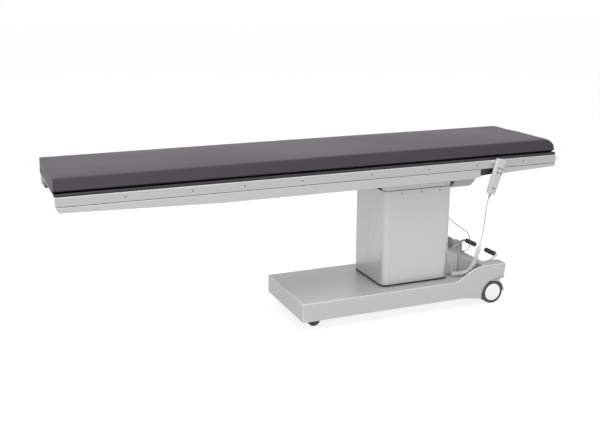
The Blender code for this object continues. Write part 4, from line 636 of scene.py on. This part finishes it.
@dataclass
class CordSet:
    """The coiled handset cord in its two pieces, and the thin cord behind the column."""

    finishes: Finishes
    jacket: float = 0.0025      # radius of the handset cord
    coil: float = 0.0123        # outer radius of the coiled length
    thin: float = 0.0019
    first_pitch: float = 0.040  # the first turn opens out of the straight cord
    first_length: float = 0.030
    first_turns: float = 0.6    # over which the coil reaches its full width
    open_pitch: float = 0.0125  # the top turns are pulled apart by the weight below them
    close_pitch: float = 0.0056
    open_length: float = 0.085
    closing_length: float = 0.040
    steps_per_turn: int = 16
    samples: int = 4000         # places at which the number of turns is worked out
    route_step: float = 0.008   # between the points of a straight cord
    coil_step: float = 0.004    # between the points of the coil's middle line and its lead
    drop: tuple[tuple[float, float, float], ...] = (
        (0.823629, -0.2653, 0.573120), (0.820539, -0.2653, 0.563609), (0.8165, -0.264, 0.538),
        (0.8145, -0.262, 0.505), (0.814, -0.258, 0.460), (0.814, -0.250, 0.410), (0.8135, -0.241, 0.372),
        (0.813024, -0.236143, 0.349582),
    )
    coiled: tuple[tuple[float, float, float], ...] = (
        (0.813, -0.236, 0.349), (0.811, -0.224, 0.300), (0.808, -0.209, 0.252), (0.805, -0.197, 0.219),
        (0.799, -0.184, 0.191), (0.788, -0.170, 0.171), (0.770, -0.159, 0.1615), (0.742, -0.152, 0.1595),
        (0.711, -0.147, 0.1595),
    )
    lead: tuple[tuple[float, float, float], ...] = (
        (0.7130, -0.1360, 0.172), (0.7131, -0.1346, 0.184), (0.7140, -0.1343, 0.194),
        (0.7155, -0.1334, 0.1986), (0.7175, -0.1308, 0.2025), (0.7193, -0.1269, 0.2051),
        (0.7205, -0.1223, 0.206), (0.721, -0.1193, 0.206),
    )
    aux: tuple[tuple[float, float, float], ...] = (
        (0.6893, -0.120, 0.448), (0.6963, -0.120, 0.448), (0.714, -0.113, 0.436), (0.747, -0.098, 0.411),
        (0.816, -0.070, 0.367), (0.864, -0.045, 0.331), (0.892, -0.025, 0.290), (0.901, -0.014, 0.258),
        (0.900, -0.009, 0.241), (0.892, -0.006, 0.2275), (0.8803, -0.005, 0.2215), (0.8733, -0.005, 0.2215),
    )

    def line(self, name: str, points: list[Vector], radius: float, resolution: int,
             finish: str = "cord") -> bpy.types.Object:
        """Draw one round cord through points of the frame.

        Args:
            name: Name of the piece.
            points: Its centreline.
            radius: Radius of its jacket.
            resolution: Roundness of its section.
            finish: The finish of its jacket.

        Returns:
            The curve.
        """
        curve = bpy.data.curves.new(name, "CURVE")
        curve.dimensions = "3D"
        curve.bevel_depth = radius
        curve.bevel_resolution = resolution
        curve.use_fill_caps = True
        spline = curve.splines.new("POLY")
        spline.points.add(len(points) - 1)
        for knot, point in zip(spline.points, points):
            knot.co = (*point, 1.0)
        spline.use_smooth = True
        piece = bpy.data.objects.new(name, curve)
        bpy.context.scene.collection.objects.link(piece)
        curve.materials.append(self.finishes.of(finish))
        return piece

    def turns_before(self, distance: float) -> float:
        """Return how many turns the coil has made at a distance from its upper end.

        Args:
            distance: Length along the coil's middle line.

        Returns:
            The number of turns, not rounded.
        """
        slope = (self.close_pitch - self.open_pitch) / self.closing_length
        if distance <= self.first_length:
            return distance / self.first_pitch
        lead_in = self.first_length / self.first_pitch
        if distance <= self.open_length:
            return lead_in + (distance - self.first_length) / self.open_pitch
        turns = lead_in + (self.open_length - self.first_length) / self.open_pitch
        closing = min(distance - self.open_length, self.closing_length)
        turns += math.log((self.open_pitch + slope * closing) / self.open_pitch) / slope
        return turns + max(0.0, distance - self.open_length - self.closing_length) / self.close_pitch

    def helix(self, route: list[Vector]) -> list[Vector]:
        """Wind a coil round a route: loose at its upper end, close at its lower one.

        Args:
            route: The line through the middle of the coil.

        Returns:
            Points along the wound cord, from the middle at the top to the outside at the foot.
        """
        radius = self.coil - self.jacket
        walked = [0.0]
        for a, b in zip(route, route[1:]):
            walked.append(walked[-1] + (b - a).length)
        stretch = math.ceil(self.turns_before(walked[-1])) / self.turns_before(walked[-1])
        samples = [walked[-1] * i / self.samples for i in range(self.samples + 1)]
        phases = [self.turns_before(d) * stretch for d in samples]
        total = round(phases[-1]) * self.steps_per_turn
        points: list[Vector] = []
        side = Vector((0.0, 1.0, 0.0))
        index = near = 0
        for step in range(total + 1):
            turn = step / self.steps_per_turn
            while near < len(samples) - 2 and phases[near + 1] < turn:
                near += 1
            part = (turn - phases[near]) / (phases[near + 1] - phases[near])
            distance = samples[near] + min(1.0, part) * (samples[near + 1] - samples[near])
            while index < len(route) - 2 and walked[index + 1] < distance:
                index += 1
            share = (distance - walked[index]) / (walked[index + 1] - walked[index])
            centre = route[index].lerp(route[index + 1], share)
            along = (route[index + 1] - route[index]).normalized()
            side = (side - along * side.dot(along)).normalized()
            other = along.cross(side)
            angle = 2 * math.pi * turn
            opened = min(1.0, turn / self.first_turns)
            reach = radius * opened * opened * (3 - 2 * opened)
            points.append(centre + reach * (math.cos(angle) * side - math.sin(angle) * other))
        return points

    def build(self) -> None:
        drop = smooth_route([at(*p) for p in self.drop], self.route_step)
        # the drop wears the darker copy of the jacket, which is painted shade
        upper = self.line("handset_cord_drop", drop, self.jacket, 3, "shaded_drop_cord")
        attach(upper, "handset")
        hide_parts("handset_cord")
        LOG.info("handset cord drop, %.3f m", route_length(drop))
        wound = self.helix(smooth_route([at(*p) for p in self.coiled], self.coil_step))
        wound = wound[:-2]      # the cord leaves the last turn where it points upwards
        tail = smooth_route([wound[-1], *[at(*p) for p in self.lead]], self.coil_step)
        whole = list(reversed(wound + tail[1:]))
        lower = self.line("handset_cord_coil", whole, self.jacket, 2)
        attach(lower, "base")
        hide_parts("handset_coil", "handset_lead")
        LOG.info("handset cord coil and lead, %.3f m", route_length(whole))
        aux = smooth_route([at(*p) for p in self.aux], self.route_step)
        thin = self.line("column_cord", aux, self.thin, 3, "thin_cord")
        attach(thin, "base")
        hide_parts("aux_cord")
        LOG.info("thin cord, %.3f m", route_length(aux))


@dataclass
class PaddedTop:
    """The long pad: foam under a coated fabric cover with a seam round its lower edge."""

    finishes: Finishes
    inset: float = 0.0020       # the start shape stays this far inside the finished pad
    frames: int = 16
    pressure: float = 3.0
    stiffness: float = 12.0     # of the cover against stretching
    swell_limit: float = 0.0028
    left: float = -1.226
    right: float = 1.219
    bottom: float = 0.7713
    thickness: float = 0.0672
    arch: float = 0.0020        # the foam stands this much higher halfway along
    crown: float = 0.0012       # and this much higher halfway across
    base_half: float = 0.242
    top_half: float = 0.2395
    slope_length: float = 0.040
    slope_drop: float = 0.030
    slope_curve: float = 1.4    # power by which the right end falls away
    corner: float = 0.0055
    corner_steps: int = 4
    half_steps: int = 6         # across half of the upper face
    hem_height: float = 0.0108  # the lower edge tucks in under this height
    hem_depth: float = 0.012
    columns: int = 190

    def height_at(self, x: float) -> float:
        """Return the height of the upper face over the bottom at a place along the pad."""
        start = self.right - self.slope_length
        from_middle = (2 * x - self.left - self.right) / (self.right - self.left)
        height = self.thickness + self.arch * (1 - from_middle ** 2)
        if x <= start:
            return height
        share = min(1.0, (x - start) / self.slope_length)
        return height - self.slope_drop * share ** self.slope_curve

    def shell(self) -> bpy.types.Object:
        """Loft the closed pad from sections across it, each with rounded upper corners.

        Returns:
            The pad before its cover is pulled tight.
        """
        bm = bmesh.new()
        left, right = self.left + self.inset, self.right - self.inset
        stations = [left + (right - left) * i / self.columns for i in range(self.columns + 1)]
        ease, steps = self.corner, self.corner_steps
        loops = []
        ends = [ease * (1 - math.cos(math.pi / 2 * i / steps)) for i in range(steps)]
        body = [x for x in stations if left + ease < x < right - ease]
        for x in [left + end for end in ends] + body + [right - end for end in reversed(ends)]:
            edge = min(x - left, right - x)
            shrink = 0.0 if edge >= ease else ease - math.sqrt(max(0.0, ease ** 2 - (ease - edge) ** 2))
            loops.append([bm.verts.new(at(x, y, z)) for y, z in self.section(x, shrink)])
        count = len(loops[0])
        for one, two in zip(loops, loops[1:]):
            for i in range(count):
                j = (i + 1) % count
                bm.faces.new((one[i], one[j], two[j], two[i]))
        bm.faces.new(list(reversed(loops[0])))
        bm.faces.new(loops[-1])
        bmesh.ops.recalc_face_normals(bm, faces=bm.faces)
        return link_mesh("mattress_pad", bm)

    def section(self, x: float, shrink: float) -> list[tuple[float, float]]:
        """Return the outline across the pad at a place along it.

        Args:
            x: The place along the pad.
            shrink: How far the upper edge is pulled down and in near an end.

        Returns:
            Points (y, z), once round.
        """
        low = self.bottom + 0.0002
        high = self.bottom + self.height_at(x) - self.inset - shrink
        base, top = self.base_half - self.inset, self.top_half - self.inset - shrink * 0.6
        radius, depth, hem = self.corner, self.hem_depth, self.hem_height
        points = [(base - 3 * depth, low), (base - 1.2 * depth, low), (base - depth, low + 0.6 * hem),
                  (base - 0.15 * depth, low + 0.8 * hem), (base, low + 1.1 * hem),
                  (base - 0.1 * (base - top), low + 0.3 * (high - low)),
                  (top + 0.3 * (base - top), high - radius)]
        for i in range(1, self.corner_steps + 1):
            angle = math.pi / 2 * i / self.corner_steps
            points.append((top - radius + radius * math.cos(angle), high - radius + radius * math.sin(angle)))
        inner = [(top - radius) * (1 - i / self.half_steps) for i in range(1, self.half_steps + 1)]
        points += [(y, high + self.crown * (1 - (y / top) ** 2)) for y in inner]
        mirrored = [(-y, z) for y, z in reversed(points[:-1])]
        return points + mirrored

    def pull_cover(self, pad: bpy.types.Object) -> None:
        """Swell the foam under its cover with a short cloth simulation, and keep the result.

        Args:
            pad: The pad.
        """
        bpy.context.view_layer.objects.active = pad
        start = [v.co.copy() for v in pad.data.vertices]
        group = pad.vertex_groups.new(name="held")
        held = [v.index for v in pad.data.vertices if v.co.z < self.bottom + 0.85 * self.hem_height]
        group.add(held, 1.0, "REPLACE")
        cloth = pad.modifiers.new("cover", "CLOTH")
        settings = cloth.settings
        settings.use_pressure = True
        settings.uniform_pressure_force = self.pressure
        settings.effector_weights.gravity = 0.0
        settings.tension_stiffness = self.stiffness
        settings.vertex_group_mass = "held"
        scene = bpy.context.scene
        for number in range(1, self.frames + 1):
            scene.frame_set(number)
        view = bpy.context.evaluated_depsgraph_get()
        swollen = bpy.data.meshes.new_from_object(pad.evaluated_get(view))
        pad.modifiers.clear()
        for vert, before in zip(swollen.vertices, start):
            move = vert.co - before
            if move.length > self.swell_limit:
                vert.co = before + move.normalized() * self.swell_limit
        pad.data = swollen
        scene.frame_set(1)

    def build(self) -> None:
        """Make the pad, with its cover pulled tight, on the table top."""
        pad = self.shell()
        self.pull_cover(pad)
        smooth = pad.modifiers.new("soft form", "SUBSURF")
        smooth.levels = smooth.render_levels = 1
        pad.data.materials.clear()
        pad.data.materials.append(self.finishes.of("pad"))
        for face in pad.data.polygons:
            face.use_smooth = True
            face.material_index = 0
        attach(pad, "table_top")
        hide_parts("mattress")
        LOG.info("mattress pad")


def loose_box(name: str, low: Vector, high: Vector, round_by: float) -> bpy.types.Object:
    """Make a small block with rounded edges.

    Args:
        name: Name of the piece.
        low: Its lowest corner.
        high: Its highest corner.
        round_by: Radius of its edges.

    Returns:
        The block.
    """
    bm = bmesh.new()
    bmesh.ops.create_cube(bm, size=1.0)
    middle, size = (low + high) / 2, high - low
    for vert in bm.verts:
        vert.co = middle + Vector((vert.co.x * size.x, vert.co.y * size.y, vert.co.z * size.z))
    bmesh.ops.bevel(bm, geom=list(bm.edges), offset=round_by, segments=2, affect="EDGES", profile=0.5)
    return link_mesh(name, bm)


@dataclass
class TopDressing:
    """Finishes of everything under the pad, the dark strips of painted shade in the joints and the hook's
    latch.
    """

    finishes: Finishes
    strip_half: float = 1.214
    strip_z: float = 0.7180
    strip_height: float = 0.0028
    strip_face: float = 0.2494
    strip_back: float = 0.2460
    latch_low: tuple[float, float, float] = (0.838, -0.2532, 0.7462)
    latch_high: tuple[float, float, float] = (0.862, -0.2502, 0.7572)
    latch_edge: float = 0.0012
    slit_at: tuple[float, float, float] = (0.8525, -0.2531, 0.7520)
    slit_half: tuple[float, float, float] = (0.0075, 0.0004, 0.0012)
    slit_turned: float = math.radians(24)

    def gap_shade_strips(self) -> None:
        """Lay a dark strip into the groove between each rail and the beam under it, as painted shade for the
        shadowed gap.
        """
        for side, way in (("near", -1), ("far", 1)):
            across = sorted((way * self.strip_face, way * self.strip_back))
            low = at(-self.strip_half, across[0], self.strip_z - self.strip_height / 2)
            high = at(self.strip_half, across[1], self.strip_z + self.strip_height / 2)
            strip = loose_box(f"gap_shade_strip_{side}", low, high, 0.0004)
            # painted shade: the dark rubber strip stands in for the shadow inside the gap
            strip.data.materials.append(self.finishes.of("seal"))
            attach(strip, "table_top")
            LOG.info("gap shade strip, %s side", side)

    def hook_tab(self) -> None:
        """Set the latch of the handset's hook on the rail, beside the handset."""
        plate = loose_box("handset_hook_latch", at(*self.latch_low), at(*self.latch_high), self.latch_edge)
        plate.data.materials.append(self.finishes.of("fender"))
        half = Vector(self.slit_half)
        slit = loose_box("handset_hook_slit", -half, half, 0.0002)
        slit.data.transform(Matrix.Translation(at(*self.slit_at)) @ Matrix.Rotation(self.slit_turned, 4, "Y"))
        slit.data.materials.append(self.finishes.of("seal"))
        for piece, slot in ((plate, "light_metal"), (slit, "rubber")):
            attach(piece, "table_top")
            LOG.info("%s", piece.name)

    def build(self) -> None:
        """Dress rails, beams, slide and tilt frame."""
        for side in ("near", "far"):
            self.finishes.dress("rail", f"side_rail_{side}")
            self.finishes.dress("screw", f"rail_screws_{side}")
            self.finishes.dress("pale_plastic", f"rail_end_cap_{side}")
            self.finishes.dress("beam", f"beam_skin_long_{side}", f"beam_skin_short_{side}")
        self.finishes.dress("black", "top_frame")
        self.finishes.dress("carbon", "carbon_top")
        self.finishes.dress("steel", "slide_carriage_left", "slide_carriage_right", "tilt_frame",
                            "cardan_cross")
        self.finishes.dress("paint", "tilt_drive_box")
        self.finishes.dress("steel", "handset_bracket")
        self.gap_shade_strips()
        self.hook_tab()


@dataclass
class ColumnDressing:
    """Finishes of the column."""

    finishes: Finishes

    def build(self) -> None:
        """Dress the shells and what runs inside them."""
        self.finishes.dress("column", "column_cover_near", "column_cover_far", "column_lid", "column_head")
        self.finishes.dress("seal", "column_seal")
        self.finishes.dress("screw", "cover_screws_near", "cover_screws_far")
        self.finishes.dress("steel", "column_guide_tube", "column_inner_tube", "lift_actuator_body")
        self.finishes.dress("bright", "lift_actuator_rod")


@dataclass
class BaseDressing:
    """Finishes of the base, its covers, pedals and castors."""

    finishes: Finishes

    def build(self) -> None:
        """Dress the base from the cover down to the castors."""
        self.finishes.dress("base", "base_cover")
        self.finishes.dress("steel", "base_chassis")
        self.finishes.dress("grey_plastic", "rear_cover")
        self.finishes.dress("box_plastic", "socket_box")
        self.finishes.dress("hood_plastic", "rear_hood")
        self.finishes.dress("satin", "pedal_bar")
        self.finishes.dress("rubber", "pedal_grip_near", "pedal_grip_far")
        for side in ("near", "far"):
            self.finishes.dress("fender", f"rear_castor_{side}_fork")
            self.finishes.dress("pale_plastic", f"rear_castor_{side}_wheels")
            self.finishes.dress("tyre", f"rear_castor_{side}_tyre_near", f"rear_castor_{side}_tyre_far")
            self.finishes.dress("black", f"front_castor_{side}_fork")
            self.finishes.dress("tyre", f"front_castor_{side}_wheels")


@dataclass
class HandsetDressing:
    """Finishes of the hand control, and the dark inlay in the slot near its foot."""

    finishes: Finishes
    hung_at: tuple[float, float, float] = (0.885, -0.2533, 0.762)   # back of its upper edge
    leaning: float = math.radians(18)
    thickness: float = 0.024
    slot_drop: float = 0.146
    inlay_length: float = 0.0186
    inlay_height: float = 0.0041
    inlay_rise: float = 0.0012      # thickness over the floor of the slot
    slot_depth: float = 0.0015
    inlay_sunk: float = 0.0008      # into the body, under the slot's floor

    def inlay(self) -> None:
        """Fill the slot with a dark inlay, just under the face."""
        floor = -self.thickness + self.slot_depth
        half, rise = self.inlay_length / 2, self.inlay_height / 2
        low = Vector((-half, floor - self.inlay_rise, -self.slot_drop - rise))
        high = Vector((half, floor + self.inlay_sunk, -self.slot_drop + rise))
        piece = loose_box("handset_slot_inlay", low, high, 0.0003)
        place = Matrix.Translation(at(*self.hung_at)) @ Matrix.Rotation(self.leaning, 4, "Y")
        piece.data.transform(place)
        piece.data.materials.append(self.finishes.of("button"))
        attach(piece, "handset")
        LOG.info("handset slot inlay")

    def build(self) -> None:
        """Dress the body, its buttons and the strain relief."""
        self.finishes.dress("handset", "handset_body")
        self.finishes.dress("relief", "handset_strain_relief")
        self.finishes.dress("button", *[f"handset_button_{i}" for i in range(1, 5)])
        self.inlay()


def main() -> None:
    """Build the studio and dress the table, piece by piece."""
    logging.basicConfig(level=logging.INFO, format="%(name)s: %(message)s")
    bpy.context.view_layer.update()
    finishes = Finishes()
    Studio().build()
    CordSet(finishes).build()
    PaddedTop(finishes).build()
    for part in (TopDressing, ColumnDressing, BaseDressing, HandsetDressing):
        part(finishes).build()


if __name__ == "__main__":
    main()
